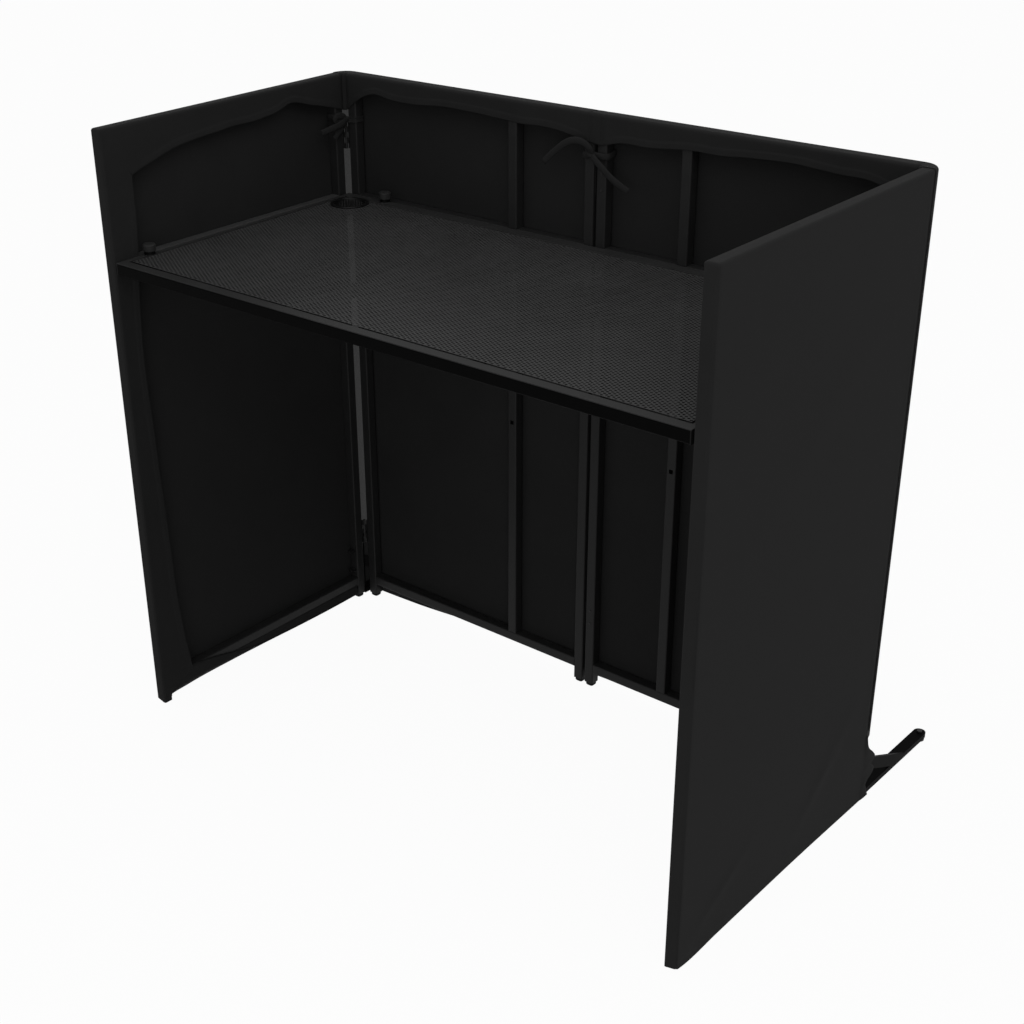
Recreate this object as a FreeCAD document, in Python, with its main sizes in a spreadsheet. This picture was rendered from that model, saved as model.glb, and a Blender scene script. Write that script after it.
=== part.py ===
"""Folding booth for a disc jockey: four hinged tube panels, a lift-out perforated deck and a stretch cover.

Millimetres, +Z up, +X to the performer's right, -Y towards the performer. The origin lies on the floor,
in the middle of the footprint, stabilisers included.
"""
import FreeCAD, Part
import Sketcher
import os
import re

# Driving dimensions in millimetres; every size and place below is worked out from these
SIZES = {
    # Folding frame
    "frame_width": 1216, "frame_depth": 596, "frame_height": 1113,
    "tube_side": 20, "tube_wall": 1.5, "tube_corner": 2.5,
    "corner_gap": 7, "centre_gap": 6,
    "bottom_rail_height": 32, "upright_offset": 181,
    "key_hole_side": 8, "key_hole_height": 512,
    # Foot plugs
    "foot_height": 8, "foot_inset": 0.2, "foot_chamfer": 2, "foot_plug": 12, "fit_gap": 0.3,
    # Hinges
    "hinge_above_plate": 2, "hinge_drop": 138,
    "knuckle_radius": 2.7, "knuckle_length": 10.4, "knuckle_gap": 0.4,
    "leaf_thick": 1.2, "leaf_width": 15, "leaf_gap": 0.3, "hinge_pin_radius": 1.4, "pin_gap": 0.05,
    "pin_head": 1.2,
    "rivet_radius": 2.2, "rivet_rise": 1, "rivet_round": 0.7, "rivet_low": 12, "rivet_high": 40,
    # Deck
    "deck_height": 890, "deck_sheet": 1.5, "deck_gap": 6, "bearer_offset": 181,
    "deck_web": 34,
    "end_cap": 1.5, "end_cap_plug": 10,
    # Deck ledges
    "ledge_thick": 2, "ledge_reach": 22, "ledge_seat": 16, "ledge_length": 60, "ledge_front_setback": 160,
    "ledge_from_middle": 60,
    # Deck locks
    "knob_inset": 7, "knob_beyond_band": 9.8, "knob_side_setback": 102,
    "cap_radius": 11.5, "cap_height": 12, "cap_round": 3, "collar_radius": 9.5, "collar_height": 6,
    "shaft_radius": 3, "shaft_gap": 0.3, "tab_length": 22, "tab_width": 10, "tab_thick": 3, "tab_gap": 0.8,
    "ledge_beside_knob": 9, "lock_flange": 12, "lock_flange_thick": 1.5,
    # Cable rings
    "ring_bore": 30, "ring_lip_width": 5, "ring_lip": 3, "ring_lip_round": 1.2, "sleeve_wall": 2,
    "sleeve_depth": 14, "ring_from_rail": 4,
    # Stabilisers
    "stabiliser_reach": 232, "stabiliser_width": 22, "stabiliser_lift": 6, "stabiliser_bar": 10,
    "plate_width": 18, "plate_thick": 4, "plate_top": 128, "bolt_above_rail": 17, "bolt_below_top": 14,
    "brace_top": 93, "brace_height": 25, "brace_reach": 177, "brace_thick": 5,
    "bolt_radius": 3, "bolt_gap": 0.3, "bolt_head_radius": 5, "bolt_head": 3, "bolt_tail": 12,
    "nut_radius": 5, "nut_height": 7, "nut_gap": 0.1,
    "wing_inset": 1, "wing_rise": 9, "wing_thick": 2.5, "wing_base": 1,
    "pad_radius": 10,
    # Stretch cover
    "cloth_thick": 1.5, "cloth_gap": 0.3, "cloth_hem": 45, "cloth_rear_band": 60,
    "cloth_wing_drop": 3, "cloth_front_drop": 20, "cloth_above_plate": 12, "cloth_centre_half": 11,
    # Ties
    "tie_drop": 71, "tie_width": 12, "tie_thick": 2, "tie_knot": 16, "tie_knot_depth": 3.2,
    "tie_tail": 80, "tie_droop": 40,
}

KNUCKLE_COUNT = 5
NEAR = 0.01
FLANGE_CORNER_COUNT = 4
OPENING_COLUMNS = 4
OPENING_ROWS = 6
SIDES = ((-1, "left"), (1, "right"))

doc = FreeCAD.newDocument("booth")
sheet = doc.addObject("Spreadsheet::Sheet", "dims")
for row, (alias, value) in enumerate(SIZES.items(), 1):
    sheet.set("A%d" % row, alias)
    sheet.set("B%d" % row, str(value))
    sheet.setAlias("B%d" % row, alias)
doc.recompute()

# Places that several pieces share, as expressions on the sheet
INNER_X = "(frame_width/2 - tube_side)"
MID_Y = "((cloth_gap + cloth_thick - stabiliser_reach)/2)"
FRONT = "(%s + frame_depth/2)" % MID_Y
BACK = "(%s - frame_depth/2)" % MID_Y
INNER_Y = "(%s - tube_side)" % FRONT
WING_END = "(%s - corner_gap)" % INNER_Y
FRONT_END = "(%s - corner_gap)" % INNER_X
CENTRE_END = "(centre_gap/2)"
CORNER_X = "(%s - corner_gap/2)" % INNER_X
CORNER_Y = "(%s - corner_gap/2)" % INNER_Y
DECK_X = "(%s - deck_gap)" % INNER_X
DECK_FRONT = "(%s - deck_gap)" % INNER_Y
DECK_UNDER = "(deck_height - deck_sheet)"
DECK_BASE = "(deck_height - deck_sheet - tube_side)"
LEDGE_BASE = "(%s - ledge_thick)" % DECK_BASE
KNOB_X = "(%s - knob_inset)" % DECK_X
KNOB_BACK = "(%s - cloth_gap - cloth_thick + cloth_rear_band + knob_beyond_band)" % BACK
KNOB_FRONT = "(%s - knob_inset)" % DECK_FRONT
KNOB_SIDE = "(%s - knob_side_setback)" % DECK_X
SLEEVE = "(ring_bore + sleeve_wall)"
RING_X = "(%s - tube_side - ring_from_rail - %s)" % (DECK_X, SLEEVE)
RING_Y = "(%s - tube_side - ring_from_rail - %s)" % (DECK_FRONT, SLEEVE)
STABILISER_X = "(frame_width/2 - tube_side/2)"
STABILISER_TIP = "(%s + stabiliser_reach)" % FRONT
HINGE_LOW = "(plate_top + hinge_above_plate)"
HINGE_HIGH = "(frame_height - hinge_drop)"
BOLT_LOW = "(bottom_rail_height + tube_side + bolt_above_rail)"
BOLT_HIGH = "(plate_top - bolt_below_top)"
TIE_HEIGHT = "(frame_height - tie_drop)"
COVER_TOP = "(frame_height + cloth_gap + cloth_thick)"
COVER_X = "(frame_width/2 + cloth_gap)"
COVER_OUT = "(%s + cloth_thick)" % COVER_X
HEM_X = "(%s - cloth_gap)" % INNER_X
HEM_IN_X = "(%s - cloth_thick)" % HEM_X
HEM_Y = "(%s - cloth_gap)" % INNER_Y
HEM_IN_Y = "(%s - cloth_thick)" % HEM_Y
COVER_Y = "(%s + knuckle_radius + cloth_gap)" % FRONT
COVER_FRONT = "(%s + cloth_thick)" % COVER_Y
COVER_BACK = "(%s - cloth_gap - cloth_thick)" % BACK

WORDS = re.compile(r"[a-z_]+")
nodes = {}


def bind(obj, **expressions):
    """Bind properties to sheet expressions; a double underscore in a name stands for a dot."""
    for name, text in expressions.items():
        linked = WORDS.sub(lambda word: "dims." + word.group(0), str(text))
        obj.setExpression(name.replace("__", "."), linked)


def place(obj, x, y, z):
    """Bind the base point of an object's placement."""
    bind(obj, Placement__Base__x=x, Placement__Base__y=y, Placement__Base__z=z)


def less(a, b):
    """The expression a minus b."""
    return "(%s) - (%s)" % (a, b)


def signed(side, text):
    """An expression mirrored to the side it belongs to."""
    return text if side > 0 else "-(%s)" % text


def across(side, near, far):
    """The lower and upper x of a stretch between two distances from the middle, on one side."""
    return (near, far) if side > 0 else ("-(%s)" % far, "-(%s)" % near)


class Piece:
    """A body whose features are bound to the sheet and placed from its own corner or centre."""

    def __init__(self, label, x, y, z):
        self.body = doc.addObject("PartDesign::Body", label)
        self.body.Label = label
        self.base = (x, y, z)
        place(self.body, x, y, z)

    def feature(self, kind, at, turn=None, **sizes):
        """Add one primitive at a point of the whole object's frame."""
        made = self.body.newObject("PartDesign::" + kind, kind)
        if turn:
            made.Placement.Rotation = FreeCAD.Rotation(FreeCAD.Vector(*turn[0]), turn[1])
        place(made, *[less(a, b) for a, b in zip(at, self.base)])
        bind(made, **sizes)
        self.body.Tip = made
        doc.recompute()
        return made

    def block(self, x, y, z, kind="AdditiveBox"):
        """A box between pairs of coordinates."""
        return self.feature(kind, (x[0], y[0], z[0]), Length=less(x[1], x[0]), Width=less(y[1], y[0]),
                            Height=less(z[1], z[0]))

    def rod(self, at, radius, length, along="z", kind="AdditiveCylinder"):
        """A cylinder from a point along +Z or along +Y."""
        turn = ((1, 0, 0), -90) if along == "y" else None
        return self.feature(kind, at, turn, Radius=radius, Height=length)

    def round_edges(self, base, radius, keep, kind="Fillet"):
        """Fillet or chamfer the edges of the last feature that keep() picks."""
        names = ["Edge%d" % (i + 1) for i, edge in enumerate(base.Shape.Edges) if keep(edge)]
        made = self.body.newObject("PartDesign::" + kind, kind)
        made.Base = (base, names)
        bind(made, **{"Radius" if kind == "Fillet" else "Size": radius})
        self.body.Tip = made
        doc.recompute()
        return made

    def pad(self, plane, points, length):
        """Pad a polygon drawn on one of the body's own planes, with every corner bound to the sheet."""
        sketch = self.body.newObject("Sketcher::SketchObject", "Outline")
        support = [f for f in self.body.Origin.OriginFeatures if f.Role == plane][0]
        sketch.AttachmentSupport = (support, "")
        sketch.MapMode = "FlatFace"
        starts = [FreeCAD.Vector(value_of(u), value_of(v), 0) for u, v in points]
        for i, start in enumerate(starts):
            sketch.addGeometry(Part.LineSegment(start, starts[(i + 1) % len(starts)]))
        for i, (u, v) in enumerate(points):
            last = (i - 1) % len(points)
            sketch.addConstraint(Sketcher.Constraint("Coincident", last, 2, i, 1))
            for kind, text, at in (("DistanceX", u, starts[i].x), ("DistanceY", v, starts[i].y)):
                index = sketch.addConstraint(Sketcher.Constraint(kind, -1, 1, i, 1, at))
                name = "%s%d" % (kind[-1].lower(), i)
                sketch.renameConstraint(index, name)
                bind(sketch, **{"Constraints__" + name: text})
        doc.recompute()
        made = self.body.newObject("PartDesign::Pad", "Pad")
        made.Profile = sketch
        bind(made, Length=length)
        self.body.Tip = made
        doc.recompute()
        return made

    def grid(self, cut, *runs):
        """Repeat a cut along the body's own axes; each run has an axis, a step and a count."""
        made = self.body.newObject("PartDesign::MultiTransform", "Grid")
        made.Originals = [cut]
        patterns = []
        for axis, step, count in runs:
            if count > 1:
                pattern = self.body.newObject("PartDesign::LinearPattern", "Run")
                pattern.Direction = ([f for f in self.body.Origin.OriginFeatures if f.Role == axis][0], [""])
                pattern.Occurrences = count
                bind(pattern, Length="%s*%d" % (step, count - 1))
                patterns.append(pattern)
        made.Transformations = patterns
        self.body.Tip = made
        doc.recompute()
        return made

    def done(self):
        """Keep the body as a sub-part under its own label."""
        nodes[self.body.Label] = self.body
        return self.body


def value_of(text):
    """The number that a sheet expression gives now."""
    return float(sheet.evalExpression(WORDS.sub(lambda word: "dims." + word.group(0), str(text))))


def group(label, pieces):
    """Keep several separate solids as one sub-part."""
    made = doc.addObject("Part::Compound", label)
    made.Label = label
    made.Links = pieces
    nodes[label] = made
    return made


def along(direction):
    """A test for straight edges that run along one axis."""
    wanted = FreeCAD.Vector(*direction)

    def test(edge):
        return edge.Curve.TypeId == "Part::GeomLine" and abs(edge.Curve.Direction.dot(wanted)) > 1 - NEAR
    return test


def rim_at(axis, level):
    """A test for round edges that lie at one level of the piece's own frame."""
    def test(edge):
        off = abs(getattr(edge.CenterOfMass, axis) - level)
        return edge.Curve.TypeId == "Part::GeomCircle" and off < NEAR
    return test


def tube(label, axis, x, y, z, length, holes=()):
    """A square tube with rounded corners; holes are (x, y, z, axis, radius) through both walls."""
    piece = Piece(label, x, y, z)
    size = {"x": "tube_side", "y": "tube_side", "z": "tube_side"}
    size[axis] = length
    outer = piece.block((x, less(x, "-(%s)" % size["x"])), (y, less(y, "-(%s)" % size["y"])),
                        (z, less(z, "-(%s)" % size["z"])))
    direction = {"x": (1, 0, 0), "y": (0, 1, 0), "z": (0, 0, 1)}[axis]
    piece.round_edges(outer, "tube_corner", along(direction))
    low = {"x": x, "y": y, "z": z}
    span = {}
    for name in "xyz":
        inset = "0" if name == axis else "tube_wall"
        start = "(%s) + %s" % (low[name], inset)
        span[name] = (start, "(%s) + (%s) - %s" % (low[name], size[name], inset))
    piece.block(span["x"], span["y"], span["z"], "SubtractiveBox")
    for hx, hy, hz, direction, radius in holes:
        piece.rod((hx, hy, hz), radius, "tube_side", direction, "SubtractiveCylinder")
    return piece


def post(label, x, y, holes=()):
    """An upright tube from its foot to the top of the frame."""
    return tube(label, "z", x, y, "foot_height", less("frame_height", "foot_height"), holes)


def foot(label, x, y):
    """A foot plug: a chamfered flange under the tube and a plug inside it."""
    piece = Piece(label, x, y, "0")
    flange = piece.block(("(%s) + foot_inset" % x, "(%s) + tube_side - foot_inset" % x),
                         ("(%s) + foot_inset" % y, "(%s) + tube_side - foot_inset" % y), ("0", "foot_height"))
    piece.round_edges(flange, "foot_chamfer", lambda edge: edge.CenterOfMass.z < NEAR, "Chamfer")
    inset = "tube_wall + fit_gap"
    piece.block(("(%s) + %s" % (x, inset), "(%s) + tube_side - (%s)" % (x, inset)),
                ("(%s) + %s" % (y, inset), "(%s) + tube_side - (%s)" % (y, inset)),
                ("foot_height", "foot_height + foot_plug"))
    return piece.body


def low_x(side, near, far):
    """The lower x of a stretch on one side of the middle."""
    return across(side, near, far)[0]


# Front panels: corner post, centre post, upright, top and bottom rails, and the rails beside the deck
def front_panel(side, name):
    outer = low_x(side, less(FRONT_END, "tube_side"), FRONT_END)
    inner = low_x(side, CENTRE_END, "%s + tube_side" % CENTRE_END)
    stem = low_x(side, "upright_offset - tube_side/2", "upright_offset + tube_side/2")
    post("front_%s_corner_post" % name, outer, INNER_Y).done()
    post("front_%s_centre_post" % name, inner, INNER_Y).done()
    rail_near = "(%s + tube_side)" % CENTRE_END
    rail_far = "(%s - tube_side)" % FRONT_END
    rail_x = low_x(side, rail_near, rail_far)
    rail_run = less(rail_far, rail_near)
    rails = [tube("front_%s_%s_rail" % (name, level), "x", rail_x, INNER_Y, z, rail_run).body
             for level, z in (("bottom", "bottom_rail_height"), ("top", less("frame_height", "tube_side")))]
    group("front_%s_rails" % name, rails)
    floor_of_upright = "(bottom_rail_height + tube_side)"
    upright = tube("front_%s_upright" % name, "z", stem, INNER_Y, floor_of_upright,
                   less(less("frame_height", "tube_side"), floor_of_upright))
    hole = across(side, "upright_offset - key_hole_side/2", "upright_offset + key_hole_side/2")
    upright.block(hole, (less(INNER_Y, "tube_wall"), "%s + 2*tube_wall" % INNER_Y),
                  ("key_hole_height - key_hole_side/2", "key_hole_height + key_hole_side/2"),
                  "SubtractiveBox")
    upright.done()
    runs = (("inner", rail_near, "(upright_offset - tube_side/2)"),
            ("outer", "(upright_offset + tube_side/2)", rail_far))
    group("front_%s_mid_rails" % name,
          [tube("front_%s_mid_%s" % (name, part), "x", low_x(side, near, far), INNER_Y,
                DECK_BASE, less(far, near)).body for part, near, far in runs])
    group("front_%s_feet" % name, [foot("front_%s_%s_foot" % (name, part), x, INNER_Y)
                                   for part, x in (("corner", outer), ("centre", inner))])


# Wings: corner post with the stabiliser's bolt holes, rear post and rails
def wing(side, name):
    x = low_x(side, INNER_X, "frame_width/2")
    near_y = less(WING_END, "tube_side")
    bolt_x = signed(side, STABILISER_X)
    holes = [(bolt_x, near_y, z, "y", "bolt_radius + bolt_gap") for z in (BOLT_LOW, BOLT_HIGH)]
    post("%s_wing_corner_post" % name, x, near_y, holes).done()
    post("%s_wing_rear_post" % name, x, BACK).done()
    start = "(%s + tube_side)" % BACK
    run = less(near_y, start)
    group("%s_wing_rails" % name,
          [tube("%s_wing_%s_rail" % (name, level), "y", x, start, z, run).body
           for level, z in (("bottom", "bottom_rail_height"), ("top", less("frame_height", "tube_side")))])
    tube("%s_wing_mid_rail" % name, "y", x, start, DECK_BASE, run).done()
    group("%s_wing_feet" % name, [foot("%s_wing_%s_foot" % (name, part), x, y)
                                  for part, y in (("corner", near_y), ("rear", BACK))])


# Hinges: two leaves with rolled knuckles and a headed pin, at two heights on each hinge line
def leaf(label, z, first, axis, plate, web):
    """One leaf: a plate, and on every second knuckle a web and a barrel round the pin."""
    piece = Piece(label, axis[0], axis[1], z)
    piece.block(plate[0], plate[1], (z, "(%s) + %d*knuckle_length" % (z, KNUCKLE_COUNT)))
    for i in range(first, KNUCKLE_COUNT, 2):
        low = "(%s) + %d*knuckle_length + knuckle_gap/2" % (z, i)
        tall = "knuckle_length - knuckle_gap"
        piece.block(web[0], web[1], (low, "%s + %s" % (low, tall)))
        piece.rod((axis[0], axis[1], low), "knuckle_radius", tall)
    piece.rod((axis[0], axis[1], z), "hinge_pin_radius + pin_gap", "%d*knuckle_length" % KNUCKLE_COUNT,
              kind="SubtractiveCylinder")
    return piece.body


def pin(label, x, y, z):
    """A hinge pin with a small head on top."""
    piece = Piece(label, x, y, z)
    length = "%d*knuckle_length" % KNUCKLE_COUNT
    piece.rod((x, y, z), "hinge_pin_radius", length)
    piece.rod((x, y, "(%s) + %s" % (z, length)), "knuckle_radius", "pin_head")
    return piece.body


def hinge_line(name, axis, first_leaf, second_leaf):
    """Both hinges of one line; each leaf is (node, plate, web)."""
    heights = (("lower", HINGE_LOW), ("upper", HINGE_HIGH))
    for first, (node, plate, web) in enumerate((first_leaf, second_leaf)):
        group(node, [leaf("%s_%s" % (node, level), z, first, axis, plate, web) for level, z in heights])
    group("%s_hinge_pins" % name, [pin("%s_%s_pin" % (name, level), axis[0], axis[1], z)
                                   for level, z in heights])


def corner_hinge(side, name):
    x = signed(side, CORNER_X)
    clear = "(knuckle_radius + leaf_gap)"
    wing_face = (WING_END, "%s + leaf_thick" % WING_END)
    wing_leaf = ("%s_hinge_wing_leaves" % name,
                 (across(side, "%s + %s" % (CORNER_X, clear), "%s + leaf_width" % CORNER_X), wing_face),
                 (across(side, CORNER_X, "%s + %s" % (CORNER_X, clear)), (WING_END, CORNER_Y)))
    front_face = across(side, FRONT_END, "%s + leaf_thick" % FRONT_END)
    front_leaf = ("%s_hinge_front_leaves" % name,
                  (front_face, ("%s + %s" % (CORNER_Y, clear), "%s + leaf_width" % CORNER_Y)),
                  (across(side, FRONT_END, CORNER_X), (CORNER_Y, "%s + %s" % (CORNER_Y, clear))))
    hinge_line(name, (x, CORNER_Y), wing_leaf, front_leaf)


def centre_hinge():
    clear = "(knuckle_radius + leaf_gap)"
    leaves = []
    for side, name in SIDES:
        plate = (across(side, less(CENTRE_END, "leaf_thick"), CENTRE_END),
                 (less(FRONT, "leaf_width"), less(FRONT, clear)))
        web = (across(side, "0", CENTRE_END), (less(FRONT, clear), FRONT))
        leaves.append(("centre_hinge_%s_leaves" % name, plate, web))
    hinge_line("centre", ("0", FRONT), *leaves)
    rivets = []
    for level, base in (("lower", HINGE_LOW), ("upper", HINGE_HIGH)):
        for end, step in (("low", "rivet_low"), ("high", "rivet_high")):
            x, z = "%s + tube_side/2" % CENTRE_END, "%s + %s" % (base, step)
            piece = Piece("rivet_%s_%s" % (level, end), x, less(INNER_Y, "rivet_rise"), z)
            head = piece.rod(piece.base, "rivet_radius", "rivet_rise", "y")
            piece.round_edges(head, "rivet_round", rim_at("y", 0))
            rivets.append(piece.body)
    group("centre_hinge_rivets", rivets)


# Ledges: flat tabs welded under the rails, which carry the deck's frame
def ledge(label, x, y):
    piece = Piece(label, x[0], y[0], LEDGE_BASE)
    piece.block(x, y, (LEDGE_BASE, DECK_BASE))
    return piece.body


def ledges(side, name):
    tab_x = across(side, less(INNER_X, "ledge_reach"), "%s + ledge_seat" % INNER_X)
    tab_y = (less(INNER_Y, "ledge_reach"), "%s + ledge_seat" % INNER_Y)
    starts = (("rear", "%s + ledge_beside_knob" % KNOB_BACK),
              ("front", less(DECK_FRONT, "ledge_front_setback")))
    group("%s_wing_ledges" % name,
          [ledge("%s_wing_%s_ledge" % (name, part), tab_x, (start, "%s + ledge_length" % start))
           for part, start in starts])
    beside = "(%s - ledge_beside_knob)" % KNOB_SIDE
    runs = (("outer", less(beside, "ledge_length"), beside),
            ("inner", "ledge_from_middle", "ledge_from_middle + ledge_length"))
    group("front_%s_ledges" % name,
          [ledge("front_%s_%s_ledge" % (name, part), across(side, near, far), tab_y)
           for part, near, far in runs])


# Deck: tube frame, bearers, sheet, end caps, cable rings and turning locks
def knob_places():
    """Each lock's name, side, axis place and the way that its tab points when it is open."""
    for side, name in SIDES:
        yield "lock_knob_rear_%s" % name, side, signed(side, KNOB_X), KNOB_BACK, (-side, 0)
        yield "lock_knob_front_%s" % name, side, signed(side, KNOB_SIDE), KNOB_FRONT, (0, -1)


def deck_openings(piece):
    """Cut a grid of openings in each bay between the deck's tubes, short of the cable rings."""
    edge = "(%s - tube_side)" % DECK_X
    inner, outer = "(bearer_offset - tube_side/2)", "(bearer_offset + tube_side/2)"
    rear, front = "(%s + tube_side)" % BACK, "(%s - tube_side)" % DECK_FRONT
    step_y = "((%s)/%d)" % (less(front, rear), OPENING_ROWS)
    whole, short = (0, OPENING_COLUMNS, 0, OPENING_ROWS), (0, OPENING_COLUMNS, 0, OPENING_ROWS - 1)
    last_row = (OPENING_COLUMNS - 1, OPENING_ROWS - 1, 1)
    for start, end, blocks in (("-" + edge, "-" + outer, (short, (1, *last_row))),
                               ("-" + inner, inner, (whole,)),
                               (outer, edge, (short, (0, *last_row)))):
        step_x = "((%s)/%d)" % (less(end, start), OPENING_COLUMNS)
        for column, columns, row, rows in blocks:
            x = ["%s + %s*%d %s deck_web/2" % (start, step_x, column + i, "+-"[i]) for i in (0, 1)]
            y = ["%s + %s*%d %s deck_web/2" % (rear, step_y, row + i, "+-"[i]) for i in (0, 1)]
            cut = piece.block(x, y, (DECK_UNDER, "deck_height"), kind="SubtractiveBox")
            piece.grid(cut, ("X_Axis", step_x, columns), ("Y_Axis", step_y, rows))


def deck():
    bore = "shaft_radius + shaft_gap"
    side_start = "(%s + tube_side)" % BACK
    side_end = "(%s - tube_side)" % DECK_FRONT
    rear_end = "(%s - end_cap)" % DECK_X
    tube("deck_rear_rail", "x", "-%s" % rear_end, BACK, DECK_BASE, "2*%s" % rear_end).done()
    rails = []
    for side, name in SIDES:
        x = low_x(side, less(DECK_X, "tube_side"), DECK_X)
        hole = (signed(side, KNOB_X), KNOB_BACK, DECK_BASE, "z", bore)
        rails.append(tube("deck_%s_rail" % name, "y", x, side_start, DECK_BASE, less(side_end, side_start),
                          [hole]).body)
    holes = [(signed(side, KNOB_SIDE), KNOB_FRONT, DECK_BASE, "z", bore) for side, name in SIDES]
    rails.append(tube("deck_front_rail", "x", "-%s" % DECK_X, side_end, DECK_BASE, "2*%s" % DECK_X,
                      holes).body)
    group("deck_frame_rails", rails)
    bearers = []
    for side, name in SIDES:
        x = low_x(side, "bearer_offset - tube_side/2", "bearer_offset + tube_side/2")
        bearers.append(tube("deck_%s_bearer" % name, "y", x, side_start, DECK_BASE,
                            less(side_end, side_start)).body)
    group("deck_bearers", bearers)

    sheet_piece = Piece("deck_sheet", "-%s" % DECK_X, BACK, DECK_UNDER)
    sheet_piece.block(("-%s" % DECK_X, DECK_X), (BACK, DECK_FRONT), (DECK_UNDER, "deck_height"))
    for side, name in SIDES:
        sheet_piece.rod((signed(side, RING_X), RING_Y, DECK_UNDER), "%s + fit_gap" % SLEEVE,
                        "deck_sheet", kind="SubtractiveCylinder")
    for label, side, x, y, way in knob_places():
        sheet_piece.rod((x, y, DECK_UNDER), bore, "deck_sheet", kind="SubtractiveCylinder")
    deck_openings(sheet_piece)
    sheet_piece.done()

    caps = []
    for side, name in SIDES:
        face = across(side, rear_end, DECK_X)
        plug = across(side, less(rear_end, "end_cap_plug"), rear_end)
        cap = Piece("deck_%s_end_cap" % name, face[0], BACK, DECK_BASE)
        cap.block(face, (BACK, "%s + tube_side" % BACK), (DECK_BASE, DECK_UNDER))
        inset = "tube_wall + fit_gap"
        cap.block(plug, ("%s + %s" % (BACK, inset), "%s + tube_side - (%s)" % (BACK, inset)),
                  ("%s + %s" % (DECK_BASE, inset), "%s - (%s)" % (DECK_UNDER, inset)))
        caps.append(cap.body)
    group("deck_end_caps", caps)


def cable_rings():
    made = []
    for side, name in SIDES:
        x = signed(side, RING_X)
        piece = Piece("cable_ring_%s" % name, x, RING_Y, "deck_height")
        piece.rod((x, RING_Y, less("deck_height", "sleeve_depth")), SLEEVE, "sleeve_depth")
        lip = piece.rod((x, RING_Y, "deck_height"), "%s + ring_lip_width" % SLEEVE, "ring_lip")
        piece.round_edges(lip, "ring_lip_round", rim_at("z", value_of("ring_lip")))
        piece.rod((x, RING_Y, less("deck_height", "sleeve_depth")), "ring_bore", "sleeve_depth + ring_lip",
                  kind="SubtractiveCylinder")
        made.append(piece.body)
    group("cable_rings", made)


def locks():
    flanges = []
    flange_top = "(deck_height + lock_flange_thick)"
    collar_top = "(%s + collar_height)" % flange_top
    tab_top = "(%s - tab_gap)" % LEDGE_BASE
    tab_base = "(%s - tab_thick)" % tab_top
    for label, side, x, y, way in knob_places():
        flange = Piece(label.replace("knob", "flange"), x, y, "deck_height")
        diamond = flange.feature("AdditivePrism", flange.base, Circumradius="lock_flange",
                                 Height="lock_flange_thick")
        diamond.Polygon = FLANGE_CORNER_COUNT
        flange.rod(flange.base, "shaft_radius + shaft_gap", "lock_flange_thick", kind="SubtractiveCylinder")
        flanges.append(flange.body)

        knob = Piece(label, x, y, flange_top)
        knob.rod((x, y, flange_top), "collar_radius", "collar_height")
        cap = knob.rod((x, y, collar_top), "cap_radius", "cap_height")
        knob.round_edges(cap, "cap_round", rim_at("z", value_of("collar_height + cap_height")))
        knob.rod((x, y, tab_base), "shaft_radius", less(flange_top, tab_base))
        half = "tab_width/2"
        reach = [(less(c, half), "%s + %s" % (c, half)) for c in (x, y)]
        for i, step in enumerate(way):
            if step > 0:
                reach[i] = (less((x, y)[i], half), "%s + tab_length" % (x, y)[i])
            elif step < 0:
                reach[i] = (less((x, y)[i], "tab_length"), "%s + %s" % ((x, y)[i], half))
        knob.block(reach[0], reach[1], (tab_base, tab_top))
        knob.done()
    group("lock_flanges", flanges)


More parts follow.
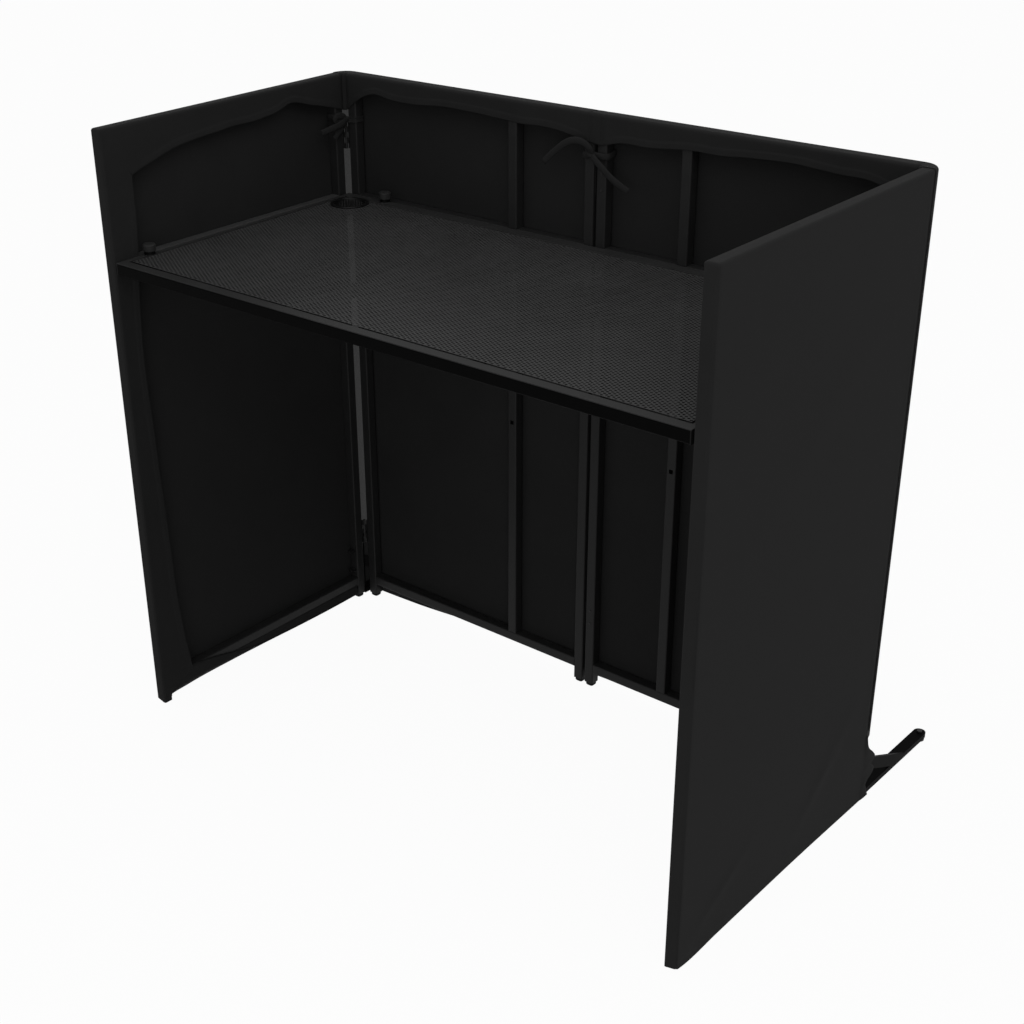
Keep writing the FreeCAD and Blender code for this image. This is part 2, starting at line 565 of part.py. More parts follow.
# Stabilisers: a bolted plate, a floor bar and a sloping brace, with wing bolts and a tip foot
def stabiliser(side, name):
    x = signed(side, STABILISER_X)
    bar_top = "(stabiliser_lift + stabiliser_bar)"
    piece = Piece("stabiliser_%s" % name, x, WING_END, "0")
    half = "plate_width/2"
    piece.block((less(x, half), "%s + %s" % (x, half)), (WING_END, "%s + plate_thick" % WING_END),
                ("stabiliser_lift", less("plate_top", half)))
    piece.rod((x, WING_END, less("plate_top", half)), half, "plate_thick", "y")
    half = "stabiliser_width/2"
    tip = "(%s - stabiliser_width/2)" % STABILISER_TIP
    piece.block((less(x, half), "%s + %s" % (x, half)), (WING_END, tip), ("stabiliser_lift", bar_top))
    piece.rod((x, tip, "stabiliser_lift"), half, "stabiliser_bar")
    sunk = "(stabiliser_lift + stabiliser_bar/2)"
    drop = "(brace_top - %s)" % sunk
    lower = "brace_reach*(%s - brace_height)/%s" % (drop, drop)
    brace = piece.pad("YZ_Plane", (("0", "brace_top"), ("brace_reach", sunk), (lower, sunk),
                                   ("0", "brace_top - brace_height")), "brace_thick")
    brace.Reversed = side < 0
    outline = brace.Profile[0]
    bind(outline, AttachmentOffset__Base__z=signed(side, less(half, "brace_thick")))
    for z in (BOLT_LOW, BOLT_HIGH):
        piece.rod((x, WING_END, z), "bolt_radius + bolt_gap", "plate_thick", "y", "SubtractiveCylinder")
    piece.rod((x, tip, "stabiliser_lift"), "bolt_radius + bolt_gap", "stabiliser_bar",
              kind="SubtractiveCylinder")
    piece.done()

    near = "(%s - tube_side)" % WING_END
    head = "(%s + plate_thick)" % WING_END
    pieces = []
    for level, z in (("low", BOLT_LOW), ("high", BOLT_HIGH)):
        bolt = Piece("stabiliser_%s_bolt_%s" % (name, level), x, near, z)
        bolt.rod((x, less(near, "bolt_tail"), z), "bolt_radius", "bolt_tail + tube_side + plate_thick", "y")
        bolt.rod((x, head, z), "bolt_head_radius", "bolt_head", "y")
        pieces.append(bolt.body)
        nut = Piece("stabiliser_%s_nut_%s" % (name, level), x, near, z)
        half = "(tube_side/2 - wing_inset)"
        nut.rod((x, less(near, "nut_height"), z), "nut_radius", "nut_height", "y")
        nut.block((less(x, half), "%s + %s" % (x, half)), (less(near, "wing_rise"), less(near, "wing_base")),
                  (less(z, "wing_thick/2"), "%s + wing_thick/2" % z))
        nut.rod((x, less(near, "wing_rise"), z), "bolt_radius + nut_gap", "wing_rise", "y",
                "SubtractiveCylinder")
        pieces.append(nut.body)
    pad = Piece("stabiliser_%s_tip_foot" % name, x, tip, "0")
    pad.rod((x, tip, "0"), "pad_radius", "stabiliser_lift")
    pad.rod((x, tip, "stabiliser_lift"), "bolt_radius", "stabiliser_bar")
    pad.rod((x, tip, bar_top), "bolt_head_radius", "bolt_head")
    pieces.append(pad.body)
    group("stabiliser_%s_fasteners" % name, pieces)


# Cover: one stretch cloth, as a sheet on each panel and a strip across each hinge line
def wing_cover(side, name):
    outer = across(side, COVER_X, COVER_OUT)
    whole = across(side, HEM_IN_X, COVER_OUT)
    inner = across(side, HEM_IN_X, HEM_X)
    run = (COVER_BACK, WING_END)
    tall = ("cloth_wing_drop", COVER_TOP)
    piece = Piece("cover_%s_wing" % name, outer[0], COVER_BACK, "cloth_wing_drop")
    piece.block(outer, run, tall)
    piece.block(whole, run, (less(COVER_TOP, "cloth_thick"), COVER_TOP))
    piece.block(inner, run, (less(COVER_TOP, "cloth_hem"), COVER_TOP))
    piece.block(whole, (COVER_BACK, "%s + cloth_thick" % COVER_BACK), tall)
    piece.block(inner, (COVER_BACK, "%s + cloth_rear_band" % COVER_BACK), tall)
    piece.done()


def front_cover(side, name):
    run = across(side, "cloth_centre_half", FRONT_END)
    piece = Piece("cover_front_%s" % name, run[0], COVER_Y, "cloth_front_drop")
    cover_run(piece, run)
    piece.done()


def cover_run(piece, run):
    """The front sheet, its turn over the top rail and its hem, over one stretch of x."""
    piece.block(run, (COVER_Y, COVER_FRONT), ("cloth_front_drop", COVER_TOP))
    piece.block(run, (HEM_IN_Y, COVER_FRONT), (less(COVER_TOP, "cloth_thick"), COVER_TOP))
    piece.block(run, (HEM_IN_Y, HEM_Y), (less(COVER_TOP, "cloth_hem"), COVER_TOP))


def cover_strips():
    centre = Piece("cover_centre_strip", "-cloth_centre_half", COVER_Y, "cloth_front_drop")
    cover_run(centre, ("-cloth_centre_half", "cloth_centre_half"))
    centre.done()
    for side, name in SIDES:
        piece = Piece("cover_%s_corner_strip" % name, "0", WING_END, "0")

        def corner(x, y):
            return signed(side, x), less(y, WING_END)

        chamfer = (corner(COVER_OUT, WING_END), corner(FRONT_END, COVER_FRONT),
                   corner(FRONT_END, COVER_Y), corner(COVER_X, WING_END))
        cap = (corner(COVER_OUT, WING_END), corner(FRONT_END, COVER_FRONT),
               corner(FRONT_END, HEM_IN_Y), corner(HEM_IN_X, WING_END))
        hem = (corner(HEM_IN_X, WING_END), corner(FRONT_END, HEM_IN_Y),
               corner(FRONT_END, HEM_Y), corner(HEM_X, WING_END))
        for points, low in ((chamfer, "(plate_top + cloth_above_plate)"),
                            (cap, less(COVER_TOP, "cloth_thick")), (hem, less(COVER_TOP, "cloth_hem"))):
            made = piece.pad("XY_Plane", points, less(COVER_TOP, low))
            bind(made.Profile[0], AttachmentOffset__Base__z=low)
            doc.recompute()
        piece.done()


# Ties: a flat band over the posts, a knot and drooping tails
def tie(label, knot, band, tails, offset="0"):
    """One tie; each tail is the plane that it hangs in and the way that it runs there."""
    piece = Piece(label, knot[0], knot[1], TIE_HEIGHT)
    half, wide = "tie_knot/2", "tie_width/2"
    piece.block(band[0], band[1], (less(TIE_HEIGHT, wide), "%s + %s" % (TIE_HEIGHT, wide)))
    piece.block((less(knot[0], half), "%s + %s" % (knot[0], half)),
                (knot[1], "%s + tie_knot_depth" % knot[1]),
                (less(TIE_HEIGHT, half), "%s + %s" % (TIE_HEIGHT, half)))
    for plane, way in tails:
        end = signed(way, "tie_tail")
        tail = piece.pad(plane, (("0", "-" + wide), ("0", wide), (end, less(wide, "tie_droop")),
                                 (end, "-%s - tie_droop" % wide)), "tie_thick")
        bind(tail.Profile[0], AttachmentOffset__Base__z=offset)
        doc.recompute()
    return piece.body


def ties():
    face_y = (less(HEM_Y, "tie_thick"), HEM_Y)
    knot_y = less(HEM_Y, "tie_thick + tie_knot_depth")
    posts = "(%s + tube_side)" % CENTRE_END
    corner = {}
    for side, name in SIDES:
        band = (across(side, less(FRONT_END, "tube_side"), HEM_IN_X), face_y)
        knot_x = "(%s - tie_knot/2)" % CORNER_X
        tail_x = low_x(side, less("tie_knot/2", "tie_thick"), "tie_knot/2")
        corner[name] = tie("tie_%s_corner" % name, (signed(side, knot_x), knot_y), band,
                           [("YZ_Plane", -1)], tail_x)
    centre = tie("tie_centre", ("0", knot_y), (("-%s" % posts, posts), face_y),
                 [("XZ_Plane", -1), ("XZ_Plane", 1)], "-tie_knot_depth")
    group("cover_ties", [corner["left"], centre])
    group("cover_tie_right", [corner["right"]])


for side, name in SIDES:
    front_panel(side, name)
    wing(side, name)
    corner_hinge(side, name)
    ledges(side, name)
    stabiliser(side, name)
    wing_cover(side, name)
    front_cover(side, name)
centre_hinge()
deck()
cable_rings()
locks()
cover_strips()
ties()
doc.recompute()

# Nothing is written unless every object and every sub-part is sound
faults = [obj.Name for obj in doc.Objects if {"Invalid", "Error"} & set(obj.State)]
faults += [label for label, obj in nodes.items() if obj.Shape.isNull() or not obj.Shape.isValid()]
if faults:
    raise RuntimeError("unsound: " + ", ".join(faults))

os.makedirs("parts", exist_ok=True)
for label, obj in nodes.items():
    obj.Shape.exportStep("parts/%s.step" % label)
print(len(nodes), "sub-parts,", sum(len(obj.Shape.Solids) for obj in nodes.values()), "solids")
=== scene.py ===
"""Dresses the folding booth: stretch cover, ties, perforated deck, finishes, floor, light and camera."""

import math

import bmesh
import bpy
import numpy as np
from bpy.props import FloatProperty, FloatVectorProperty, IntProperty, PointerProperty
from mathutils import Matrix, Vector


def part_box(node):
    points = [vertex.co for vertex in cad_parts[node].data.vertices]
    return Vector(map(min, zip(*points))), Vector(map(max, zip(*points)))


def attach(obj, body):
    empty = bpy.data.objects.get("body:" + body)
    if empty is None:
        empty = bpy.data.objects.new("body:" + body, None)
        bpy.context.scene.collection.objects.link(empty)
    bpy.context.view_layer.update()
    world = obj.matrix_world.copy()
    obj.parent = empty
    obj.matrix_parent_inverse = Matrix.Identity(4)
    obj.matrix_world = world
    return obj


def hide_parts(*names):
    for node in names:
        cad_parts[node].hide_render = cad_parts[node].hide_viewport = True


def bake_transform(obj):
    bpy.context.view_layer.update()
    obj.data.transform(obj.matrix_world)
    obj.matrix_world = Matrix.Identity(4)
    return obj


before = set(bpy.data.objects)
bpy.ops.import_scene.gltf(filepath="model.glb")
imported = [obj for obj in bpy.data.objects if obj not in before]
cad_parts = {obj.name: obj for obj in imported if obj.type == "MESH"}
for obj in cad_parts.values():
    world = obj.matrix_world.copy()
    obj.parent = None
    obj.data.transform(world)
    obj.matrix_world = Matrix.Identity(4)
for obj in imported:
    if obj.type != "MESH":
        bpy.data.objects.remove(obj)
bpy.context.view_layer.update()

bl_info = {
    "name": "Folding booth",
    "version": (1, 0, 0),
    "blender": (4, 5, 0),
    "location": "View3D > Sidebar > Booth",
    "description": "Cover, ties, perforated deck and finishes of a folding booth",
    "category": "Object",
}

MM = 0.001
SIDES = {"left": -1, "right": 1}
FINISH_NAME = "booth_%s"
TINY = 1e-9
WELD_REACH = 2e-6

# Grid of the cloth: angles that cut a rounded edge, and numbers of lines on the runs of a sheet
EDGE_ANGLES = np.radians([0, 15, 30, 45])
OUTER_LINES = 26
TOP_LINES = 6
HEM_LINES = 22
MITRE_LINES = 9
BAND_LINES = 24
FLAP_LINES = 9
UNDER_LINES = 8
UP_LINES = 6
CORNER_LINES = 19
CENTRE_STEP = 1.5 * MM
# Rows of the wings' outer face: numbers below and above the height up to which they are close together
LOW_ROWS = 40
HIGH_ROWS = 48
LOW_ROWS_TOP = 150 * MM
# Lowest height of the rear band
BAND_FOOT = 0.8 * MM

# Hem lines and free edges, in millimetres: (place along the panel, height)
FRONT_HEM = ((-582, 1047), (-546, 1072), (-507, 1086), (-469, 1081), (-419, 1079), (-346, 1084), (-275, 1084),
             (-207, 1081), (-162, 1078), (-118, 1080), (-64, 1076), (-11, 1066), (11, 1064), (50, 1073),
             (110, 1074), (188, 1081), (244, 1081), (299, 1085), (387, 1088), (456, 1083), (507, 1082),
             (546, 1070), (582, 1047))
WING_HEM = ((-356, 1028), (-315, 1042), (-258, 1057), (-200, 1063), (-130, 1068), (-57, 1069), (-19, 1074),
            (19, 1084), (70, 1072), (116, 1060), (156, 1048))
FRONT_FOOT = ((-582, 4), (-455, 8), (-286, 19), (-127, 19), (-38, 17), (-11, 14), (11, 14), (50, 15),
              (120, 15), (213, 18), (330, 19), (480, 9), (582, 4))
WING_FOOT = ((-415, 6.5), (-409, 4.5), (-400, 3.2), (-300, 4), (-60, 6), (156, 3))
# The wings' bottom fold: its lowest line inside, its free edge and the ends of its mitre with the rear band
FOLD_LOW = ((-397, 13), (-377, 20), (-340, 23), (-300, 24), (-242, 22), (-160, 18), (-45, 14), (75, 13),
            (136, 14))
FOLD_EDGE = ((-332, 53), (-302, 49), (-262, 41), (-241, 36), (-200, 27), (-150, 18), (-45, 14.5),
             (136, 14.5))
FOLD_MITRE = ((-397, 13.5), (-338.6, 47.5))
# Soft creases on the outer faces: place along the panel and height of the middle in metres, angle, length in
# metres, lift in millimetres
WING_CREASES = ((0.43, 0.15, 0.75, 0.10, 1.6), (0.12, 0.09, 0.5, 0.08, 1.2), (0.30, 0.80, 0.65, 0.22, 0.8))
FRONT_CREASES = ((-0.30, 0.10, 0.4, 0.10, 1.2), (0.31, 0.12, -0.4, 0.11, 1.2), (-0.12, 1.02, -0.6, 0.10, 0.8),
                 (0.40, 0.96, 0.7, 0.12, 0.8))
# Width of a crease as a share of its length
CREASE_WIDTH = 0.16
# The flap's free edge, in millimetres: (height, how far it goes past the corner post)
FLAP = {"left": ((3, 42), (30, 50), (60, 52), (100, 48), (130, 42), (141, 34)),
        "right": ((3, 26), (20, 18), (34, 15), (49, 38), (62, 34), (69, 26), (76, 37), (92, 29), (106, 14),
                  (141, 0))}
# Dips of the front's outer face, in millimetres: depth, middle along the panel and reach of each, and the
# heights between which the corners' dip fades out
HINGE_DIP = (1.0, 11, 6)
CORNER_DIP = (2.8, 582, 5)
CORNER_DIP_TOP = (60, 115)
# The cover's rear band, in millimetres: (height, width)
BAND = ((3, 84), (47.5, 76.3), (112, 66), (208, 57), (381, 52), (546, 46), (722, 40), (812, 44), (952, 56),
        (1028, 58.9))
# Shares of the thickness past which the section lies on the inner face, and short of which on the outer face
INNER_SHARE = 0.6
OUTER_SHARE = 0.3
# Reaches over which ripples fade out at the ends of a wing, of a half of the front and of the rear band
WING_FADE = 50 * MM
FRONT_FADE = 45 * MM
BAND_FADE = 90 * MM
# Rate and phase of the second wave in the hem's ripples, and length and phase of the wave down the rear band
SECOND_WAVE = (3.9, 1.3)
BAND_WAVE = (118 * MM, 0.6)
# How far the flap stands off the outer face, and the bottom fold off the inner face
FLAP_CLEAR = 0.6 * MM
FOLD_CLEAR = 0.8 * MM
# How far from the wing's rear end and from its corner the bottom fold and the tuck inside it stop
FOLD_ENDS = (24 * MM, 28 * MM)
TUCK_ENDS = (110 * MM, 24 * MM)
# Height of the tuck's top, its depth behind the inner face and how much deeper its top leans
TUCK_TOP = 34 * MM
TUCK_DEPTH = 0.3 * MM
TUCK_LEAN = 1.2 * MM
# Foot of the corner strips: drop below the solid's own, and height and number of its waves
CORNER_FOOT = (9 * MM, 4 * MM, 3)

# Ties: lines along and across a ribbon, its cupping as a share of its width, lines of a knot and its grooves
RIBBON_LINES = (48, 7)
RIBBON_CUP = 0.12
KNOT_LINES = (25, 15)
KNOT_GROOVE = 0.16

# Foot plugs: half a side, rounding of the lower edge, step in and height of the neck, and numbers of lines
FOOT_HALF = 8.4 * MM
FOOT_ROUND = 3 * MM
FOOT_NECK = (0.6 * MM, 1.2 * MM)
FOOT_LINES = (6, 33)

# Deck: corners of a hole, lengths of the sheet, and how far plain cells reach inside and outside a ring's cut
HOLE_SIDES = 8
DECK_LENGTHS = 4
RING_PLAIN = (5 * MM, 4 * MM)
# Cable rings: rounding as a share of the lip's height, wall of the sleeve, plain shoulder over the flutes,
# depth of a flute, and numbers of lines on a rounding, down the bore and round a flute
RING_ROUND = 0.45
RING_WALL = 2 * MM
RING_SHOULDER = 1 * MM
RING_FLUTE = 0.7 * MM
ROUND_LINES = 6
BORE_LINES = 5
FLUTE_LINES = 8

# Finishes: how much the sheer cloth covers, and height over a knob's flange below which the knob is painted
# dark, as darker plastic and painted shade of its cap
SHEER_COVER = 0.82
KNOB_SHADED_COLLAR = 6 * MM
WHITE = (1, 1, 1, 1)
SEEN_RAYS = ("Is Camera Ray", "Is Glossy Ray", "Is Transmission Ray")
# Light: places and sizes of the two lamps and the place that they are aimed at, in metres
KEY_PLACE, KEY_SIZE = (1.2, -0.9, 3.3), (3.2, 2.2)
FILL_PLACE, FILL_SIZE = (2.0, -3.0, 1.2), (2.6, 2.0)
LIGHT_AIM = (0, -0.1, 0.55)
SENSOR_WIDTH = 36.0


def through(points, at):
    """A smooth line through points: a cubic on each span, with the slope at a point from its neighbours."""
    x, y = np.array(points, float).T
    slope = np.gradient(y, x)
    i = np.clip(np.searchsorted(x, at) - 1, 0, len(x) - 2)
    span = x[i + 1] - x[i]
    t = np.clip((at - x[i]) / span, 0, 1)
    start = y[i] * (1 + 2 * t) * (1 - t) ** 2 + span * slope[i] * t * (1 - t) ** 2
    end = y[i + 1] * t ** 2 * (3 - 2 * t) - span * slope[i + 1] * t ** 2 * (1 - t)
    return start + end


def curve_through(points, count):
    """A smooth line in space: each coordinate is a cubic line through the points, on their running length."""
    points = np.array(points, float)
    length = np.concatenate([[0], np.cumsum(np.linalg.norm(np.diff(points, axis=0), axis=1))])
    at = np.linspace(0, length[-1], count)
    return np.stack([through(np.stack([length, points[:, k]], 1), at) for k in range(3)], 1)


def edge_lines(radius):
    """Distances from a sharp edge at which grid lines cut its rounding into equal angles, nearest first."""
    return radius * (1 - np.tan(EDGE_ANGLES[::-1]))


def rounded(along, across, height, thick, top, radius):
    """Rounds the edges of a slab: a point is carried to one radius from a core that lies a radius inside."""
    point = np.stack(np.broadcast_arrays(along, across, height), -1).astype(float)
    core = np.stack([np.maximum(point[..., 0], radius), np.clip(point[..., 1], radius, thick - radius),
                     np.minimum(point[..., 2], top - radius)], -1)
    off = point - core
    size = np.linalg.norm(off, axis=-1, keepdims=True)
    return np.where(size > 0, core + off * radius / np.maximum(size, TINY), point)


def grid_quads(rows, columns, first, flip):
    """The four corners of each cell of a grid whose points are numbered row by row from first."""
    at = first + np.arange(rows * columns).reshape(rows, columns)
    quads = np.stack([at[:-1, :-1], at[1:, :-1], at[1:, 1:], at[:-1, 1:]], -1).reshape(-1, 4)
    return quads[:, ::-1] if flip else quads


def put_mesh(name, points, quads, uvs=None):
    """A smooth mesh object at the origin from an array of points and an array of four-cornered faces."""
    mesh = bpy.data.meshes.new(name)
    mesh.vertices.add(len(points))
    mesh.vertices.foreach_set("co", np.asarray(points, np.float32).ravel())
    mesh.loops.add(quads.size)
    mesh.loops.foreach_set("vertex_index", quads.astype(np.int32).ravel())
    mesh.polygons.add(len(quads))
    mesh.polygons.foreach_set("loop_start", np.arange(0, quads.size, 4, dtype=np.int32))
    mesh.update(calc_edges=True)
    if uvs is not None:
        layer = mesh.uv_layers.new(name="cut")
        layer.data.foreach_set("uv", np.asarray(uvs, np.float32)[quads.ravel()].ravel())
    mesh.polygons.foreach_set("use_smooth", np.ones(len(quads), bool))
    piece = bpy.data.objects.new(name, mesh)
    bpy.context.scene.collection.objects.link(piece)
    return piece


def weld(piece):
    """Joins the points of a piece that lie on each other, and drops cells that shrink to nothing."""
    work = bmesh.new()
    work.from_mesh(piece.data)
    bmesh.ops.remove_doubles(work, verts=work.verts, dist=WELD_REACH)
    bmesh.ops.dissolve_degenerate(work, edges=work.edges, dist=WELD_REACH)
    work.to_mesh(piece.data)
    work.free()


def put_grids(name, *grids):
    """One mesh from several grids of points, each (points, flip), welded where they meet.

    Its map coordinates are the running lengths on each grid.
    """
    points, uvs, quads, first = [], [], [], 0
    for grid, flip in grids:
        rows, columns = grid.shape[:2]
        quads.append(grid_quads(rows, columns, first, flip))
        points.append(grid.reshape(-1, 3))
        uvs.append(running(grid).reshape(-1, 2))
        first += rows * columns
    piece = put_mesh(name, np.concatenate(points), np.concatenate(quads), np.concatenate(uvs))
    weld(piece)
    return piece


def running(grid):
    """The running length along each axis of a grid of points, as its map coordinates."""
    down = np.linalg.norm(np.diff(grid, axis=0), axis=-1).mean(1)
    over = np.linalg.norm(np.diff(grid, axis=1), axis=-1).mean(0)
    u = np.concatenate([[0], np.cumsum(down)])
    v = np.concatenate([[0], np.cumsum(over)])
    return np.stack(np.broadcast_arrays(u[:, None], v[None]), -1)


class Section:
    """The cover's section over a panel: up the outer face, over the top rail and down inside to the hem.

    Each column is a place on the section and each row a place along the panel. Across runs from 0 at the
    outer face to the thickness at the inner face, and the two upper edges are rounded. Levels are the heights
    of the outer face's lines, up to the top; those under the shoulder are spread down to the foot line.
    """

    def __init__(self, cover, thick, top, levels, shoulder):
        self.cover, self.thick, self.top = cover, thick, top
        self.levels, self.shoulder = levels, shoulder
        edge = cover.edge_radius
        near = edge_lines(edge)
        self.over = np.concatenate([near, np.linspace(edge, thick - edge, TOP_LINES)[1:-1],
                                    thick - near[::-1]])
        hem = cover.hem_depth
        self.down = np.concatenate([near[1:] / hem, np.linspace(edge / hem, 1, HEM_LINES)[1:]])

    def outer_heights(self, foot):
        """Heights of the outer face's lines above each place on the foot line."""
        share = (self.levels - self.levels[0]) / (self.shoulder - self.levels[0])
        low = foot[:, None] + (self.shoulder - foot)[:, None] * share
        return np.where(self.levels < self.shoulder, low, self.levels)

    def lines(self, foot, hem):
        """Across and height of each column: the outer face, the top and the inner face, as straight runs."""
        outer = self.outer_heights(foot)
        inner = self.top + (hem - self.top)[:, None] * self.down
        over = np.broadcast_to(self.over[1:], (len(foot), len(self.over) - 1))
        height = np.concatenate([outer, np.full_like(over, self.top), inner], 1)
        across = np.concatenate([np.zeros_like(outer), over, np.full_like(inner, self.thick)], 1)
        return across, height

    def swell(self, along, across, height, hem, ends):
        """How far the inner face stands off: a turned hem at its free edge, and ripples, the sum of two sine
        waves along the panel, that die out above it.
        """
        cover = self.cover
        above = np.maximum(height - hem, 0)
        fade = np.exp(-above / cover.ripple_height)
        turns = along / cover.ripple_length
        rate, phase = SECOND_WAVE
        wave = np.sin(turns * 2 * np.pi) + np.sin(turns * rate + phase)
        stand = turned_hem(cover, above) + cover.ripple * fade * (0.5 + 0.25 * wave)
        return np.where(across > self.thick * INNER_SHARE, stand * ends, 0)


def turned_hem(cover, above):
    """How far a turned hem stands off at a distance from its free edge: level, then a smooth step to none."""
    t = np.clip((cover.hem_width - above) / cover.hem_step, 0, 1)
    return cover.hem_lift * t * t * (3 - 2 * t)


def plain_levels(low, top, edge):
    """Heights of the outer face's lines on a straight panel, closer together at the rounded top edge."""
    return np.concatenate([np.linspace(low, top - edge, OUTER_LINES), top - edge_lines(edge)[::-1][1:]])


def panel_lines(low, high, step):
    """Evenly spaced places from low to high, about one step apart."""
    return np.linspace(low, high, max(3, int(round((high - low) / step)) + 1))


def window(along, low, high, reach):
    """One over a panel, and falling smoothly to nothing over a reach at both ends."""
    t = np.clip(np.minimum(along - low, high - along) / reach, 0, 1)
    return t * t * (3 - 2 * t)


def tucks(along, height, places):
    """Soft creases on the outer face: each is a ridge across a line, (place, height, angle, length, lift)."""
    lift = np.zeros(np.broadcast(along, height).shape)
    for place, level, angle, length, size in places:
        run = (along - place) * math.cos(angle) + (height - level) * math.sin(angle)
        side = (height - level) * math.cos(angle) - (along - place) * math.sin(angle)
        lift = lift + size * np.exp(-(run / length) ** 2 - (side / (CREASE_WIDTH * length)) ** 2)
    return lift


def LengthProperty(name, description, size):
    """A length that a user can change, whose default is given in millimetres."""
    return FloatProperty(name=name, description=description, default=size * MM, unit="LENGTH")


def GreyProperty(name, description, level):
    """A colour that a user can change, whose default is a neutral grey."""
    return FloatVectorProperty(name=name, description=description, default=(level, level, level),
                               subtype="COLOR")


class BoothCover(bpy.types.PropertyGroup):
    """Sizes of the stretch cover and its ties."""

    thickness: LengthProperty("Cloth", "Thickness of the knit cloth", 0.9)
    hem_depth: LengthProperty("Hem depth", "Usual depth of the hem inside the panels", 45)
    edge_radius: LengthProperty("Edge", "Rounding of the cloth over the tubes", 4.5)
    hem_width: LengthProperty("Hem width", "Width of the turned hem at a free edge", 12)
    hem_lift: LengthProperty("Hem lift", "How far the turned hem stands off", 1.0)
    hem_step: LengthProperty("Hem step", "Width of the slope at the turned hem's stitch line", 3)
    ripple: LengthProperty("Ripple", "How far the hem ripples", 2.4)
    ripple_length: LengthProperty("Ripple length", "Length of a hem ripple", 78)
    ripple_height: LengthProperty("Ripple height", "Height over which ripples die out", 16)
    step: LengthProperty("Grid", "Spacing of the cloth's grid lines", 9)
    ribbon_width: LengthProperty("Ribbon", "Width of a tie's ribbon", 11)
    ribbon_thickness: LengthProperty("Ribbon thickness", "Thickness of a tie's ribbon", 1.2)
    knot_size: LengthProperty("Knot", "Radius of a tie's knot", 6.5)


class BoothDeck(bpy.types.PropertyGroup):
    """Sizes of the perforated deck sheet and its cable rings."""

    pitch: LengthProperty("Pitch", "Distance between neighbouring holes", 6.93)
    hole: LengthProperty("Hole", "Diameter of a hole", 4.8)
    rear_border: LengthProperty("Rear border", "Plain border at the rear rail", 22)
    side_border: LengthProperty("Side border", "Plain border at each side", 13)
    front_border: LengthProperty("Front border", "Plain border at the front rail", 26)
    groove: LengthProperty("Groove", "Slit between the border and the perforated field", 5.0)
    field: LengthProperty("Field", "Thickness of the perforated field", 0.5)
    ring_cut: LengthProperty("Ring cut", "Radius cut out under a cable ring's lip", 34.6)
    ring_lip: LengthProperty("Ring lip", "Width of a cable ring's lip, from its bore outwards", 7)
    ring_ribs: IntProperty(name="Ring ribs", description="Number of flutes in a cable ring's bore",
                           default=36)


class BoothFinish(bpy.types.PropertyGroup):
    """Colours of the finishes."""

    cloth: GreyProperty("Cloth", "Black knit of the cover", 0.0132)
    tube: GreyProperty("Tube", "Powder coat of the frame", 0.013)
    rail: GreyProperty("Rail", "Darker coat of the deck's rails and the stabilisers", 0.002)
    # The rails beside the deck take this paler coat too, as painted light on their lit tops
    deck: GreyProperty("Deck", "Coat of the deck sheet and of the rails beside it", 0.042)
    # Painted shade: the plain border is the same sheet as the field, in a darker grey
    shaded_border: GreyProperty("Border", "Coat of the deck's plain border", 0.025)
    hinge: GreyProperty("Hinge", "Blackened hinge steel", 0.012)
    fastener: GreyProperty("Fastener", "Black zinc of bolts and rivets", 0.018)
    plastic: GreyProperty("Plastic", "Moulded feet, caps and rings", 0.006)
    knob: GreyProperty("Knob", "Moulded lock knobs", 0.014)
    floor: GreyProperty("Floor", "Pale studio floor", 0.62)


class BoothStage(bpy.types.PropertyGroup):
    """Camera, floor and light."""

    azimuth: FloatProperty(name="Azimuth", description="Camera turn about the booth", subtype="ANGLE",
                           default=math.radians(41.8047))
    elevation: FloatProperty(name="Elevation", description="Camera height angle", subtype="ANGLE",
                             default=math.radians(27.6789))
    roll: FloatProperty(name="Roll", description="Camera roll", subtype="ANGLE", default=math.radians(-1.268))
    place: FloatVectorProperty(name="Place", description="Camera place", subtype="TRANSLATION", unit="LENGTH",
                               default=(1.6235, -2.0642, 1.7140))
    lens: FloatProperty(name="Lens", description="Focal length in millimetres on a 36 mm frame",
                        default=57.19)
    shift: FloatVectorProperty(name="Shift", description="Framing shift, as shares of the frame", size=2,
                               default=(0.0687, 0.0505))
    floor_size: FloatProperty(name="Floor", description="Side of the floor", default=60.0, unit="LENGTH")
    white: FloatProperty(name="White", description="Share of plain white in the floor as seen", default=0.96,
                         subtype="FACTOR")
    key: FloatProperty(name="Key", description="Power of the large key light", subtype="POWER", default=30.0)
    fill: FloatProperty(name="Fill", description="Power of the fill light", subtype="POWER", default=27.0)
    world: FloatProperty(name="World", description="Strength of the soft surrounding light", default=0.55)


class Value:
    """A shader socket whose arithmetic adds Math nodes."""

    def __init__(self, tree, socket):
        self.tree = tree
        self.socket = socket

    def math(self, operation, *values):
        """A Math node of an operation on values."""
        node = self.tree.nodes.new("ShaderNodeMath")
        node.operation = operation
        for socket, value in zip(node.inputs, values):
            join(self.tree, socket, value)
        return Value(self.tree, node.outputs[0])

    def __add__(self, other):
        return self.math("ADD", self, other)

    def __radd__(self, other):
        return self.math("ADD", other, self)

    def __mul__(self, other):
        return self.math("MULTIPLY", self, other)

    def __rmul__(self, other):
        return self.math("MULTIPLY", other, self)


def join(tree, socket, value):
    """Links a shader value to a socket, or sets the socket to a plain number, colour or vector."""
    if isinstance(value, Value):
        tree.links.new(value.socket, socket)
    else:
        socket.default_value = value


def seen_rays(tree):
    """One for the rays that see the background: those of the camera, of reflections and of glass."""
    path = tree.nodes.new("ShaderNodeLightPath")
    return sum((Value(tree, path.outputs[ray]) for ray in SEEN_RAYS), 0.0)


